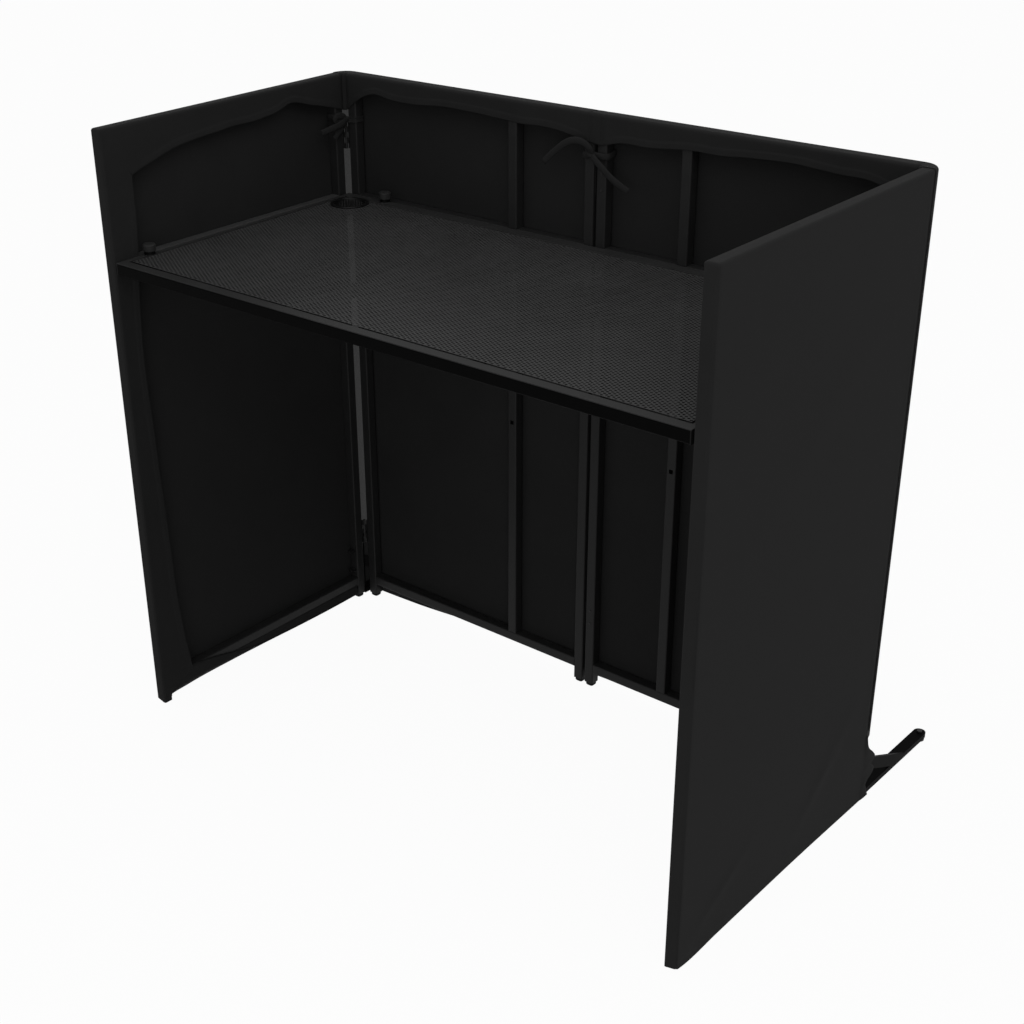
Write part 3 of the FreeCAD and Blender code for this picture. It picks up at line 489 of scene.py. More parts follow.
class Finish:
    """A procedural material: nodes are added by type, and the varying results go to the shader."""

    def __init__(self, name, **constants):
        self.material = bpy.data.materials.new(FINISH_NAME % name)
        self.material.use_nodes = True
        self.tree = self.material.node_tree
        self.shader = self.tree.nodes["Principled BSDF"]
        for socket, value in constants.items():
            self.shader.inputs[socket.replace("_", " ")].default_value = value

    def add(self, kind, settings=None, sockets=None, output=0):
        """A node of a type, its settings set first, then the values or links of its sockets."""
        node = self.tree.nodes.new("ShaderNode" + kind)
        for setting, value in (settings or {}).items():
            setattr(node, setting, value)
        for socket, value in (sockets or {}).items():
            join(self.tree, node.inputs[socket], value)
        return Value(self.tree, node.outputs[output])

    def place(self, output="Object"):
        """The piece's own coordinates."""
        return self.add("TexCoord", output=output)

    def noise(self, scale, detail=2.0, roughness=0.5):
        """Soft noise from 0 to 1, with its scale in cells per metre."""
        return self.add("TexNoise", None, {"Vector": self.place(), "Scale": scale, "Detail": detail,
                                           "Roughness": roughness})

    def above(self, level):
        """One above a height, and nothing below it."""
        height = self.add("SeparateXYZ", None, {0: self.place()}, output=2)
        return height.math("GREATER_THAN", height, level)

    def shade(self, colour, factor, spread):
        """The colour made darker and lighter by a share of itself, as the factor goes from 0 to 1."""
        dark = [c * (1 - spread) for c in colour] + [1.0]
        light = [c * (1 + spread) for c in colour] + [1.0]
        mixed = self.add("Mix", {"data_type": "RGBA"}, {0: factor, 6: dark, 7: light}, output=2)
        join(self.tree, self.shader.inputs["Base Color"], mixed)

    def rough(self, value):
        """Roughness that varies over the surface."""
        join(self.tree, self.shader.inputs["Roughness"], value)

    def seen_white(self, share):
        """Shows a share of plain white to the rays that see the background, and the surface for the rest."""
        surface = Value(self.tree, self.shader.outputs[0])
        white = self.add("Emission", None, {"Color": WHITE, "Strength": 1.0})
        mixed = self.add("MixShader", None, {0: seen_rays(self.tree) * share, 1: surface, 2: white})
        join(self.tree, self.tree.nodes["Material Output"].inputs["Surface"], mixed)

    def bump(self, height, depth):
        """Relief of a depth in metres."""
        relief = self.add("Bump", None, {"Strength": 1.0, "Distance": depth, "Height": height})
        join(self.tree, self.shader.inputs["Normal"], relief)


def finish_cloth(name, colour):
    """Black stretch knit: fine ribs along the cut, soft uneven dye and a faint sheen."""
    look = Finish(name, Specular_IOR_Level=0.06, Sheen_Weight=0.01, Sheen_Roughness=0.5)
    cut = look.place("UV")
    ribs = look.add("TexWave", {"wave_type": "BANDS", "bands_direction": "X"},
                    {"Vector": cut, "Scale": 260.0, "Distortion": 1.2, "Detail": 1.0, "Detail Scale": 1.5})
    rows = look.add("TexWave", {"wave_type": "BANDS", "bands_direction": "Y"},
                    {"Vector": cut, "Scale": 210.0, "Distortion": 1.0, "Detail": 1.0, "Detail Scale": 1.5})
    cloud = look.noise(scale=9.0, detail=3.0)
    fuzz = look.noise(scale=900.0)
    look.shade(colour, cloud * 0.6 + fuzz * 0.4, spread=0.30)
    look.rough(0.78 + cloud * 0.12)
    look.bump(ribs * 0.5 + rows * 0.3 + fuzz * 0.4, depth=0.25 * MM)
    return look


def finish_sheer(name, colour, cover, level):
    """The knit where one layer is pulled thin: sheer below a level, and whole in the hem above it."""
    look = finish_cloth(name, colour)
    join(look.tree, look.shader.inputs["Alpha"], cover + (1 - cover) * look.above(level))


def finish_coat(name, colour, gloss, rough, grain, depth):
    """Powder coat: fine orange peel, gloss that drifts over the surface and faint handling marks."""
    look = Finish(name, Specular_IOR_Level=gloss)
    low, high = rough
    peel = look.noise(scale=grain)
    drift = look.noise(scale=14.0, detail=4.0, roughness=0.6)
    marks = look.noise(scale=60.0, detail=5.0, roughness=0.7)
    look.shade(colour, drift * 0.7 + marks * 0.3, spread=0.28)
    look.rough(low + (high - low) * (drift * 0.6 + marks * 0.4))
    look.bump(peel + marks * 0.35, depth)


def finish_steel(name, colour, metal, gloss):
    """Blackened steel: brushed streaks, worn paler in patches."""
    look = Finish(name, Metallic=metal, Specular_IOR_Level=gloss)
    streak = look.noise(scale=420.0, detail=3.0, roughness=0.6)
    worn = look.noise(scale=70.0, detail=4.0, roughness=0.65)
    look.shade(colour, worn * 0.7 + streak * 0.3, spread=0.45)
    look.rough(0.28 + 0.25 * worn)
    look.bump(streak, depth=0.06 * MM)


def finish_plastic(name, colour, gloss, rough, shaded_collar=None):
    """Moulded plastic: spark-eroded grain with a soft gloss, and much darker below the level of a collar:
    darker plastic and painted shade of the cap over it.
    """
    look = Finish(name, Specular_IOR_Level=gloss)
    grain = look.noise(scale=1500.0)
    cloud = look.noise(scale=40.0, detail=3.0)
    if shaded_collar is None:
        look.shade(colour, cloud * 0.7 + grain * 0.3, spread=0.25)
    else:
        # Painted shade: below the collar's level the colour falls to a fifth, for darker plastic and the
        # cap's shadow
        look.shade(colour, look.above(shaded_collar) * (0.6 + 0.4 * cloud), spread=0.8)
    look.rough(rough + 0.16 * cloud)
    look.bump(grain, depth=0.10 * MM)


def coat(piece, finish):
    """Gives a piece one finish, in place of any that it has."""
    piece.data.materials.clear()
    piece.data.materials.append(bpy.data.materials[FINISH_NAME % finish])


def dressed(piece, body, slot, *nodes, finish=None):
    """Sets a new piece on its body, in place of CAD nodes, with a finish of its own or that of its slot."""
    coat(piece, finish or slot)
    if body:
        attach(piece, body)
    if nodes:
        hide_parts(*nodes)
    return piece


def thicken(piece, thickness):
    """Gives a sheet its thickness, inwards from the face that shows."""
    wall = piece.modifiers.new("cloth", "SOLIDIFY")
    wall.thickness = thickness
    wall.offset = -1
    wall.use_even_offset = True
    wall.use_rim = True


def finish_of(node):
    """The slot of the finish that a CAD node takes, by the kind of piece that its name gives."""
    kinds = {"_feet": "black_plastic", "end_caps": "black_plastic", "cable_rings": "black_plastic",
             "lock_knob": "knob_plastic", "_leaves": "hinge_steel", "_pins": "hinge_steel",
             "rivets": "fastener_steel", "fasteners": "fastener_steel", "lock_flanges": "fastener_steel",
             "deck_rear_rail": "dark_coat", "deck_frame_rails": "dark_coat", "stabiliser": "dark_coat",
             # The wing mid rails take the deck's paler coat: painted light on their lit tops
             "deck_sheet": "deck_sheet", "wing_mid_rail": "deck_sheet", "cover": "stretch_cloth"}
    return next((slot for part, slot in kinds.items() if part in node), "coated_tube")


class BOOTH_OT_finishes(bpy.types.Operator):
    """Makes the finishes and gives every CAD node its own"""

    bl_idname = "booth.finishes"
    bl_label = "Finishes"

    def execute(self, context):
        colours = context.scene.booth_finish
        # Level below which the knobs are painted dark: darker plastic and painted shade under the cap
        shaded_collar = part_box("lock_flanges")[1].z + KNOB_SHADED_COLLAR
        deck_coat = {"gloss": 0.02, "rough": (0.22, 0.38), "grain": 900.0, "depth": 0.03 * MM}
        finish_cloth("stretch_cloth", colours.cloth)
        finish_sheer("sheer_cloth", colours.cloth, SHEER_COVER, FRONT_HEM[0][1] * MM)
        finish_coat("coated_tube", colours.tube, gloss=0.10, rough=(0.40, 0.58), grain=700.0, depth=0.12 * MM)
        finish_coat("dark_coat", colours.rail, gloss=0.01, rough=(0.36, 0.52), grain=700.0, depth=0.10 * MM)
        finish_coat("deck_sheet", colours.deck, **deck_coat)
        # The border's darker copy of the deck coat is painted shade
        finish_coat("deck_shaded_border", colours.shaded_border, **deck_coat)
        finish_steel("hinge_steel", colours.hinge, metal=0.1, gloss=0.15)
        finish_steel("fastener_steel", colours.fastener, metal=0.5, gloss=0.2)
        finish_plastic("black_plastic", colours.plastic, gloss=0.06, rough=0.42)
        finish_plastic("ring_plastic", colours.plastic, gloss=0.11, rough=0.24)
        finish_plastic("knob_plastic", colours.knob, gloss=0.05, rough=0.36, shaded_collar=shaded_collar)
        for name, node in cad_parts.items():
            coat(node, finish_of(name))
        return {"FINISHED"}


class WingCover:
    """The sheet over a wing, in runs that are flat grids on a slab whose edges are then rounded.

    Along runs from the rear end to the corner, and across from the outer face inwards. The hem and the rear
    band meet on a mitre that falls from the upper rear corner, and their lines meet there too.
    """

    def __init__(self, cover, side):
        self.cover, self.side, self.sign = cover, side, SIDES[side]
        low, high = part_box("cover_%s_wing" % side)
        self.thick, self.length = high.x - low.x, high.y - low.y
        self.top, self.rear = high.z, low.y
        self.outer_x = max(abs(low.x), abs(high.x))
        self.edge = cover.edge_radius
        self.near = edge_lines(self.edge)
        self.mitre_height, self.mitre_along = BAND[-1][0] * MM, BAND[-1][1] * MM
        self.slope = (self.top - self.mitre_height) / self.mitre_along
        mitre = np.unique(np.concatenate([self.near, self.near / self.slope,
                                          np.linspace(self.edge, self.mitre_along, MITRE_LINES)]))
        self.along = np.concatenate([mitre, panel_lines(self.mitre_along, self.length, cover.step)[1:]])
        self.foot = through(WING_FOOT, self.place(self.along)) * MM
        seam = self.top - self.slope * mitre
        self.rows = np.concatenate([np.linspace(self.foot[0], LOW_ROWS_TOP, LOW_ROWS)[:-1],
                                    np.linspace(LOW_ROWS_TOP, self.mitre_height, HIGH_ROWS), seam[::-1][1:]])
        lowered = (BAND_FOOT + (self.rows - self.foot[0]) * (LOW_ROWS_TOP - BAND_FOOT)
                   / (LOW_ROWS_TOP - self.foot[0]))
        self.inner_rows = np.where(self.rows < LOW_ROWS_TOP, lowered, self.rows)
        self.section = Section(cover, self.thick, self.top, self.rows, self.mitre_height)

    def place(self, along):
        """Places along the panel as millimetres in the frame."""
        return (self.rear + along) / MM

    def laid(self, at, across, height, stand):
        """Points of the slab with its edges rounded, moved inwards by how far the cloth stands off."""
        point = rounded(at, across, height, self.thick, self.top, self.edge)
        x = self.sign * (self.outer_x - point[..., 1] - stand)
        return np.stack([x, self.rear + point[..., 0], point[..., 2]], -1)

    def main(self):
        """Outer face, top and hem: the section carried along, creased outside and rippled inside."""
        along = self.along[:, None]
        hem = np.where(self.along < self.mitre_along, self.top - self.slope * self.along,
                       through(WING_HEM, self.place(self.along)) * MM)
        across, height = self.section.lines(self.foot, hem)
        ends = window(self.along, self.mitre_along, self.length, WING_FADE)[:, None]
        stand = self.section.swell(along, across, height, hem[:, None], ends)
        crease = tucks(along, height, WING_CREASES) * MM
        stand = stand - np.where(across < self.thick * OUTER_SHARE, crease, 0)
        return self.laid(along, across, height, stand)

    def band(self):
        """The band inside the rear post: each row runs to the free edge, with a turned hem and a slow sine
        wave that grows with the cube of the way there.
        """
        rows, inner = self.rows, self.inner_rows
        wide = np.minimum(through(BAND, inner / MM), fold_reach(inner / MM) - self.rear / MM) * MM
        reach = np.where(rows <= self.mitre_height, wide, (self.top - rows) / self.slope)[:, None]
        share = np.unique(np.concatenate([self.near / self.mitre_along,
                                          np.linspace(self.edge / self.mitre_along, 1, BAND_LINES)]))
        along = reach * share
        fade = window(rows, self.foot[0], self.mitre_height, BAND_FADE)[:, None]
        roll = turned_hem(self.cover, reach - along)
        wave, phase = BAND_WAVE
        pull = np.sin(rows[:, None] / wave + phase) * 0.5 + 0.5
        stand = (roll + self.cover.ripple * pull * share ** 3) * fade
        return self.laid(along, np.full_like(along, self.thick), inner[:, None], stand)

    def end(self):
        """The rear end: straight across from the rows of the outer face to those of the band."""
        inward = self.section.over / self.thick
        height = self.rows[:, None] * (1 - inward) + self.inner_rows[:, None] * inward
        return self.laid(np.zeros((len(self.rows), 1)), self.section.over[None], height, np.zeros((1, 1)))

    def flap(self):
        """The flap past the corner post: the lower outer rows carried on to its free edge, which stands off
        by a cubic curve to clear the stabiliser.
        """
        outline = FLAP[self.side]
        height = self.section.outer_heights(self.foot[-1:])[0]
        height = height[height < outline[-1][0] * MM]
        share = np.linspace(0, 1, FLAP_LINES)
        along = self.length + through(outline, height / MM)[:, None] * MM * share
        lift = (self.cover.thickness + FLAP_CLEAR) * (1 - (1 - share) ** 3) * np.ones_like(along)
        return self.laid(along, np.zeros_like(along), height[:, None], -lift)

    def fold(self):
        """The bottom fold: a parabola under the rail to its lowest line inside, then straight to its edge."""
        along = panel_lines(FOLD_ENDS[0], self.length - FOLD_ENDS[1], self.cover.step)
        place = self.place(along)
        low = through(FOLD_LOW, place) * MM
        mitre = np.interp(place, *np.array(FOLD_MITRE).T, right=FOLD_EDGE[0][1])
        high = np.maximum(np.minimum(through(FOLD_EDGE, place), mitre) * MM, low)
        foot = np.interp(along, self.along, self.foot)[:, None]
        under = np.linspace(0, 1, UNDER_LINES)
        up = np.linspace(0, 1, UP_LINES)[1:]
        height = np.concatenate([foot + (low[:, None] - foot) * under ** 2,
                                 low[:, None] + (high - low)[:, None] * up], 1)
        inward = np.concatenate([under, np.ones_like(up)]) * (self.thick + FOLD_CLEAR)
        return self.laid(along[:, None], np.zeros_like(height), height, inward)

    def tuck(self):
        """The cloth tucked up inside the fold: from its lowest line up, leaning outwards by a cubic curve."""
        along = panel_lines(TUCK_ENDS[0], self.length - TUCK_ENDS[1], self.cover.step)[:, None]
        low = through(FOLD_LOW, self.place(along)) * MM
        share = np.linspace(0, 1, UP_LINES)
        height = low + (TUCK_TOP - low) * share
        inward = self.thick - TUCK_DEPTH - TUCK_LEAN * share ** 3
        return self.laid(along, np.zeros_like(height), height, inward)

    def piece(self):
        """All runs in one mesh, turned so that the faces that show point outwards."""
        flip = self.sign > 0
        runs = [(run, not flip) for run in (self.main(), self.band(), self.end())]
        runs += [(run, flip) for run in (self.flap(), self.fold(), self.tuck())]
        return put_grids("cover_%s_wing_cloth" % self.side, *runs)


def fold_reach(height):
    """Place of the mitre between the rear band and the bottom fold at each height, in millimetres."""
    (low_y, low_z), (high_y, high_z) = FOLD_MITRE
    share = np.maximum((height - low_z) / (high_z - low_z), 0)
    return low_y + share * (high_y - low_y)


def front_cover(cover, side):
    """The sheet over one half of the front: the section carried straight along the panel."""
    node = "cover_front_%s" % side
    low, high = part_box(node)
    along = panel_lines(low.x, high.x, cover.step)
    grid = straight_cover(cover, node, along, window(along, low.x, high.x, FRONT_FADE))
    return put_grids(node + "_cloth", (grid, False))


def drawn_in(along, height):
    """How far the front's outer face dips: in a bell each side of the centre hinge's knuckles, and in a bell
    at the lower outer corners, where the stabilisers swing past, which fades out above them.
    """
    dips = []
    for depth, middle, reach in (HINGE_DIP, CORNER_DIP):
        dips.append(depth * MM * np.exp(-((np.abs(along) - middle * MM) / (reach * MM)) ** 2))
    full, none = CORNER_DIP_TOP
    fade = np.clip((none * MM - height) / ((none - full) * MM), 0, 1)
    return dips[0] + dips[1] * fade


def straight_cover(cover, node, along, ends):
    """The section carried along the front, with its hem line, its foot line and soft creases."""
    low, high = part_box(node)
    top, edge = high.z, cover.edge_radius
    levels = plain_levels(low.z, top, edge)
    section = Section(cover, high.y - low.y, top, levels, top - edge)
    hem = through(FRONT_HEM, along / MM) * MM
    foot = through(FRONT_FOOT, along / MM) * MM
    across, height = section.lines(foot, hem)
    stand = section.swell(along[:, None], across, height, hem[:, None], ends[:, None])
    crease = tucks(along[:, None], height, FRONT_CREASES) * MM * ends[:, None]
    stand = stand - np.where(across < section.thick * OUTER_SHARE, crease, 0)
    stand = stand + drawn_in(along[:, None], height) * np.clip(1 - 2 * across / section.thick, 0, 1)
    point = rounded(edge, across, height, section.thick, top, edge)
    y = high.y - point[..., 1] - stand
    return np.stack([np.broadcast_to(along[:, None], y.shape), y, point[..., 2]], -1)


class BOOTH_OT_panels(bpy.types.Operator):
    """Puts the cover's sheets over the wings and the front"""

    bl_idname = "booth.panels"
    bl_label = "Cover panels"

    def execute(self, context):
        cover = context.scene.booth_cover
        for side in SIDES:
            sheet = WingCover(cover, side).piece()
            piece = dressed(sheet, side + "_wing", "stretch_cloth", "cover_%s_wing" % side)
            thicken(piece, cover.thickness)
            sheet = front_cover(cover, side)
            piece = dressed(sheet, "front_%s_panel" % side, "stretch_cloth", "cover_front_%s" % side)
            thicken(piece, cover.thickness)
        return {"FINISHED"}


class BOOTH_OT_strips(bpy.types.Operator):
    """Puts the cover's strips over the three hinge lines"""

    bl_idname = "booth.strips"
    bl_label = "Cover strips"

    def execute(self, context):
        cover = context.scene.booth_cover
        node = "cover_centre_strip"
        low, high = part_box(node)
        along = panel_lines(low.x, high.x, CENTRE_STEP)
        grid = straight_cover(cover, node, along, np.zeros(len(along)))
        piece = dressed(put_grids(node + "_cloth", (grid, False)), None, "stretch_cloth", node)
        thicken(piece, cover.thickness)
        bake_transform(piece)
        for side, sign in SIDES.items():
            node = "cover_%s_corner_strip" % side
            low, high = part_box(node)
            strip = corner_strip(cover, side, sign)
            piece = dressed(strip, None, "stretch_cloth", node, finish="sheer_cloth")
            thicken(piece, cover.thickness)
            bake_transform(piece)
        return {"FINISHED"}


def corner_strip(cover, side, sign):
    """The strip round a front corner: the section carried from the wing to the front.

    Its outer plan is a quarter of an ellipse, its inner plan a straight line, and its foot a squared sine.
    """
    node = "cover_%s_corner_strip" % side
    low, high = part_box(node)
    wing_low, wing_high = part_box("cover_%s_wing" % side)
    front_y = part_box("cover_front_%s" % side)[0].y
    end_x, outer_x = sorted((abs(low.x), abs(high.x)))
    inner_x = min(abs(wing_low.x), abs(wing_high.x))
    share = np.linspace(0, 1, CORNER_LINES)
    turn = share * math.pi / 2
    span_x, span_y = outer_x - end_x, high.y - low.y
    outer = np.stack([sign * (end_x + span_x * np.cos(turn)), low.y + span_y * np.sin(turn)], -1)
    inner = np.stack([sign * (inner_x - share * (inner_x - end_x)), low.y + share * (front_y - low.y)], -1)
    top, edge = high.z, cover.edge_radius
    section = Section(cover, wing_high.x - wing_low.x, top, plain_levels(low.z, top, edge), top - edge)
    hem_start = through(WING_HEM, low.y / MM) * MM
    hem_end = through(FRONT_HEM, -end_x / MM) * MM
    hem = hem_start + (hem_end - hem_start) * share
    drop, lift, waves = CORNER_FOOT
    foot = low.z - drop + lift * np.sin(share * math.pi * waves) ** 2
    across, height = section.lines(foot, hem)
    point = rounded(edge, across, height, section.thick, top, edge)
    part = (point[..., 1] / section.thick)[..., None]
    plan = outer[:, None] * (1 - part) + inner[:, None] * part
    grid = np.concatenate([plan, point[..., 2:]], -1)
    return put_grids(node + "_cloth", (grid, sign > 0))


def ribbon(points, width, facing):
    """A flat ribbon: a slightly cupped cross line, a parabola, carried along a smooth line.

    Across the line it lies square to the facing direction, or upright where no direction is given.
    """
    lines_along, lines_across = RIBBON_LINES
    line = curve_through(points, lines_along)
    ahead = np.gradient(line, axis=0)
    ahead /= np.linalg.norm(ahead, axis=1, keepdims=True)
    if facing is None:
        wide = np.array([0, 0, 1.0]) - ahead * ahead[:, 2:]
    else:
        wide = np.cross(np.array(facing, float), ahead)
    wide /= np.linalg.norm(wide, axis=1, keepdims=True)
    out = np.cross(ahead, wide)
    across = np.linspace(-1, 1, lines_across)
    cup = RIBBON_CUP * width * (1 - across ** 2)
    return line[:, None] + wide[:, None] * (across * width / 2)[:, None] + out[:, None] * cup[:, None]


def knot(place, size):
    """A tie's knot: a ball with two turns of sine grooves round it, closed at both poles."""
    round_lines, rise_lines = KNOT_LINES
    turn = np.linspace(0, 2 * np.pi, round_lines)
    rise = np.linspace(-np.pi / 2, np.pi / 2, rise_lines)[:, None]
    swell = 1 + KNOT_GROOVE * np.sin(2 * turn + 3 * rise) * np.cos(rise)
    ball = np.broadcast_arrays(np.cos(rise) * np.cos(turn), np.cos(rise) * np.sin(turn), np.sin(rise))
    return np.array(place) + np.stack(ball, -1) * swell[..., None] * size


# Ribbons of a corner tie, for the left corner, and of the centre tie: points in millimetres, and the
# direction that the ribbon faces, or none where it stands upright round a post
CORNER_TIE = {
    "loop": (((-559.4, 184, 1031), (-559.2, 172, 1031), (-560, 163.4, 1031), (-564, 161.2, 1030.5),
              (-573, 160.6, 1030), (-581, 158.6, 1030)), None),
    "bow": (((-582, 155, 1033), (-579.5, 143, 1040), (-578.5, 131, 1041), (-578.5, 125, 1037),
             (-579.5, 131, 1031), (-581, 144, 1029), (-582, 154, 1030)), (1, 0, 0.1)),
    "tail_a": (((-581, 156, 1031), (-577, 148, 1029), (-575.5, 136, 1026), (-575.5, 110, 1022),
                (-577, 86, 1018)), (1, 0, 0.1)),
    "tail_b": (((-582, 155, 1028), (-581, 149, 1022), (-580.5, 140, 1014), (-580, 131, 1007),
                (-580, 122, 1000)), (1, 0, 0.1)),
}
CORNER_WRAP = (((-606, 134.4, 1037), (-598, 134, 1037), (-590, 134.2, 1036.5), (-586.4, 137, 1036),
                (-585.8, 146, 1033), (-585.4, 154.5, 1031)), None)
CENTRE_TIE = {
    "wrap": (((-25, 183, 1041), (-25.4, 172, 1042), (-24.4, 163.6, 1043), (-20, 161, 1044),
              (-12, 160.2, 1045), (-5, 158.4, 1047)), None),
    "tail_a": (((-4, 156, 1048), (-2, 151, 1056), (-10, 147.5, 1066), (-29, 146, 1070), (-48, 146.5, 1064),
                (-70, 149, 1049), (-102, 153, 1022)), (0, -1, 0.1)),
    "tail_b": (((-4, 156, 1048), (6, 151, 1043), (20, 148.5, 1034), (48, 148.5, 1014), (78, 151, 998)),
               (0, -1, 0.1)),
}
CENTRE_LOOP = (((0, 158.2, 1047), (8, 159.6, 1046), (19, 160.2, 1045.5), (25, 163, 1046), (26.2, 173, 1047.5),
                (25.4, 184, 1050)), None)
CORNER_KNOT = (-583.6, 157.2, 1030.5)
CENTRE_KNOT = (-3.4, 156.6, 1047.5)


class BOOTH_OT_ties(bpy.types.Operator):
    """Ties the cover at the three hinge lines"""

    bl_idname = "booth.ties"
    bl_label = "Ties"

    def execute(self, context):
        cover = context.scene.booth_cover
        self.knotted(cover, "centre", CENTRE_KNOT, 1, "front_left_panel", ["cover_ties"])
        for part, ribbon_line in CENTRE_TIE.items():
            self.strip(cover, "tie_centre_" + part, ribbon_line, 1, "front_left_panel",
                       "front_left_centre_post", ["cover_ties"])
        self.strip(cover, "tie_centre_loop", CENTRE_LOOP, 1, "front_right_panel",
                   "front_right_centre_post", [])
        for side, sign in SIDES.items():
            nodes = ["cover_ties" if side == "left" else "cover_tie_right"]
            body = "front_%s_panel" % side
            self.knotted(cover, side, CORNER_KNOT, -sign, body, nodes)
            for part, ribbon_line in CORNER_TIE.items():
                self.strip(cover, "tie_%s_%s" % (side, part), ribbon_line, -sign, body,
                           "front_%s_corner_post" % side, nodes)
            self.strip(cover, "tie_%s_wrap" % side, CORNER_WRAP, -sign, side + "_wing",
                       side + "_wing_corner_post", [])
        return {"FINISHED"}

    def strip(self, cover, name, ribbon_line, mirror, body, post, nodes):
        """One ribbon round a post, mirrored for the right side, as a sheet of cloth."""
        points, facing = ribbon_line
        grid = ribbon(np.array(points) * MM, cover.ribbon_width, facing) * (mirror, 1, 1)
        piece = dressed(put_grids(name, (grid, mirror > 0)), body, "stretch_cloth", *nodes)
        thicken(piece, cover.ribbon_thickness)

    def knotted(self, cover, name, place, mirror, body, nodes):
        """One knot, mirrored for the right side."""
        grid = knot(np.array(place) * MM, cover.knot_size) * (mirror, 1, 1)
        piece = put_grids("tie_%s_knot" % name, (grid, mirror > 0))
        dressed(piece, body, "stretch_cloth", *nodes)


class BOOTH_OT_feet(bpy.types.Operator):
    """Makes the rounded foot plugs under the posts"""

    bl_idname = "booth.feet"
    bl_label = "Feet"

    def execute(self, context):
        for side in SIDES:
            for panel, body, posts in (("front_" + side, "front_%s_panel" % side, ("corner", "centre")),
                                       (side + "_wing", side + "_wing", ("corner", "rear"))):
                for post in posts:
                    low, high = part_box("%s_%s_post" % (panel, post))
                    grid = foot((low.x + high.x) / 2, (low.y + high.y) / 2, low.z)
                    piece = put_grids("%s_%s_foot" % (panel, post), (grid, False))
                    dressed(piece, body, "black_plastic", panel + "_feet")
        return {"FINISHED"}


def foot(x, y, height):
    """A foot plug: a rounded square, of the fourth power, turned about a post's middle, with a round lower
    edge and a narrow neck.
    """
    round_lines, turn_lines = FOOT_LINES
    step_in, neck = FOOT_NECK
    fall = np.linspace(0, np.pi / 2, round_lines)
    side = np.concatenate([[0], FOOT_HALF - FOOT_ROUND + FOOT_ROUND * np.sin(fall),
                           [FOOT_HALF, FOOT_HALF - step_in, 0]])
    level = np.concatenate([[0], FOOT_ROUND * (1 - np.cos(fall)), [height - neck, height, height]])
    turn = np.linspace(0, 2 * np.pi, turn_lines)
    square = (np.abs(np.cos(turn)) ** 4 + np.abs(np.sin(turn)) ** 4) ** -0.25
    plan = np.stack([np.cos(turn), np.sin(turn)], -1) * square[:, None]
    ring = np.array([x, y]) + side[:, None, None] * plan
    return np.concatenate([ring, np.broadcast_to(level[:, None, None], (len(level), len(turn), 1))], -1)


class BOOTH_OT_deck(bpy.types.Operator):
    """Makes the perforated deck sheet"""

    bl_idname = "booth.deck"
    bl_label = "Deck sheet"

    def execute(self, context):
        for piece, finish in deck_sheet(context.scene.booth_deck):
            dressed(piece, "deck", "deck_sheet", "deck_sheet", finish=finish)
        return {"FINISHED"}


def deck_sheet(deck):
    """The perforated sheet in four lengths: a lattice of cells in staggered columns, each with a round hole.

    Odd columns lie half a pitch further to the front. Plain cells fill their ends and go round the cable
    rings, and points inside a ring's cut move out to it. A slit parts the field from the plain borders. Each
    piece comes with the name of its finish.
    """
    low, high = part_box("deck_sheet")
    step_x, step_y = deck.pitch * math.sqrt(3) / 2, deck.pitch
    room_y = high.y - low.y - deck.rear_border - deck.front_border
    wide = int((high.x - low.x - 2 * deck.side_border) / step_x)
    deep = int(room_y / step_y)
    start_x = (low.x + high.x - wide * step_x) / 2
    start_y = low.y + deck.rear_border + (room_y - deep * step_y) / 2
    end_y = start_y + deep * step_y
    rear_edge, front_edge = start_y - deck.groove, end_y + deck.groove
    column, row = np.meshgrid(np.arange(wide), np.arange(deep), indexing="ij")
    odd = column % 2
    centre = np.stack([start_x + (column + 0.5) * step_x, start_y + (row + 0.5 + 0.5 * odd) * step_y], -1)
    kept = ~((odd == 1) & (row == deep - 1))
    rings = np.array([ring_middle(sign) for sign in SIDES.values()])
    off = np.linalg.norm(centre[:, :, None] - rings, axis=-1).min(-1) - deck.ring_cut
    inside, outside = RING_PLAIN
    holed = kept & (off > outside)
    plain = kept & (off <= outside) & (off > -inside)
    hole, cell = holed_cell(deck.hole, step_x, step_y)
    cuts = np.linspace(0, wide, DECK_LENGTHS + 1).astype(int)
    pieces = []
    for part, (first, last) in enumerate(zip(cuts[:-1], cuts[1:])):
        mine = (column >= first) & (column < last)
        halves = np.arange(first, last)
        halves = halves[halves % 2 == 1]
        mid_x = start_x + (halves + 0.5) * step_x
        flats = [plain_cells(centre[mine & plain], step_x, step_y)]
        for level in (start_y + step_y / 4, end_y - step_y / 4):
            flats.append(plain_cells(np.stack([mid_x, np.full(len(mid_x), level)], -1), step_x, step_y / 2))
        left, right = start_x + first * step_x, start_x + last * step_x
        sides = []
        if part == 0:
            sides.append(rectangle(low.x, left - deck.groove, rear_edge, front_edge))
            left = low.x
        if part == DECK_LENGTHS - 1:
            sides.append(rectangle(right + deck.groove, high.x, rear_edge, front_edge))
            right = high.x
        borders = [rectangle(left, right, low.y, rear_edge), rectangle(left, right, front_edge, high.y),
                   *sides]
        # The plain borders take the darker copy of the deck coat, which is painted shade
        for name, holes, flat_cells, depth in (("deck_sheet", centre[mine & holed], flats, deck.field),
                                               ("deck_shaded_border", np.empty((0, 2)), borders, high.z - low.z)):
            piece = perforated("%s_%d" % (name, part + 1), holes, hole, cell, np.concatenate(flat_cells),
                               rings, deck.ring_cut, high.z)
            thicken(piece, depth)
            pieces.append((piece, name))
    return pieces


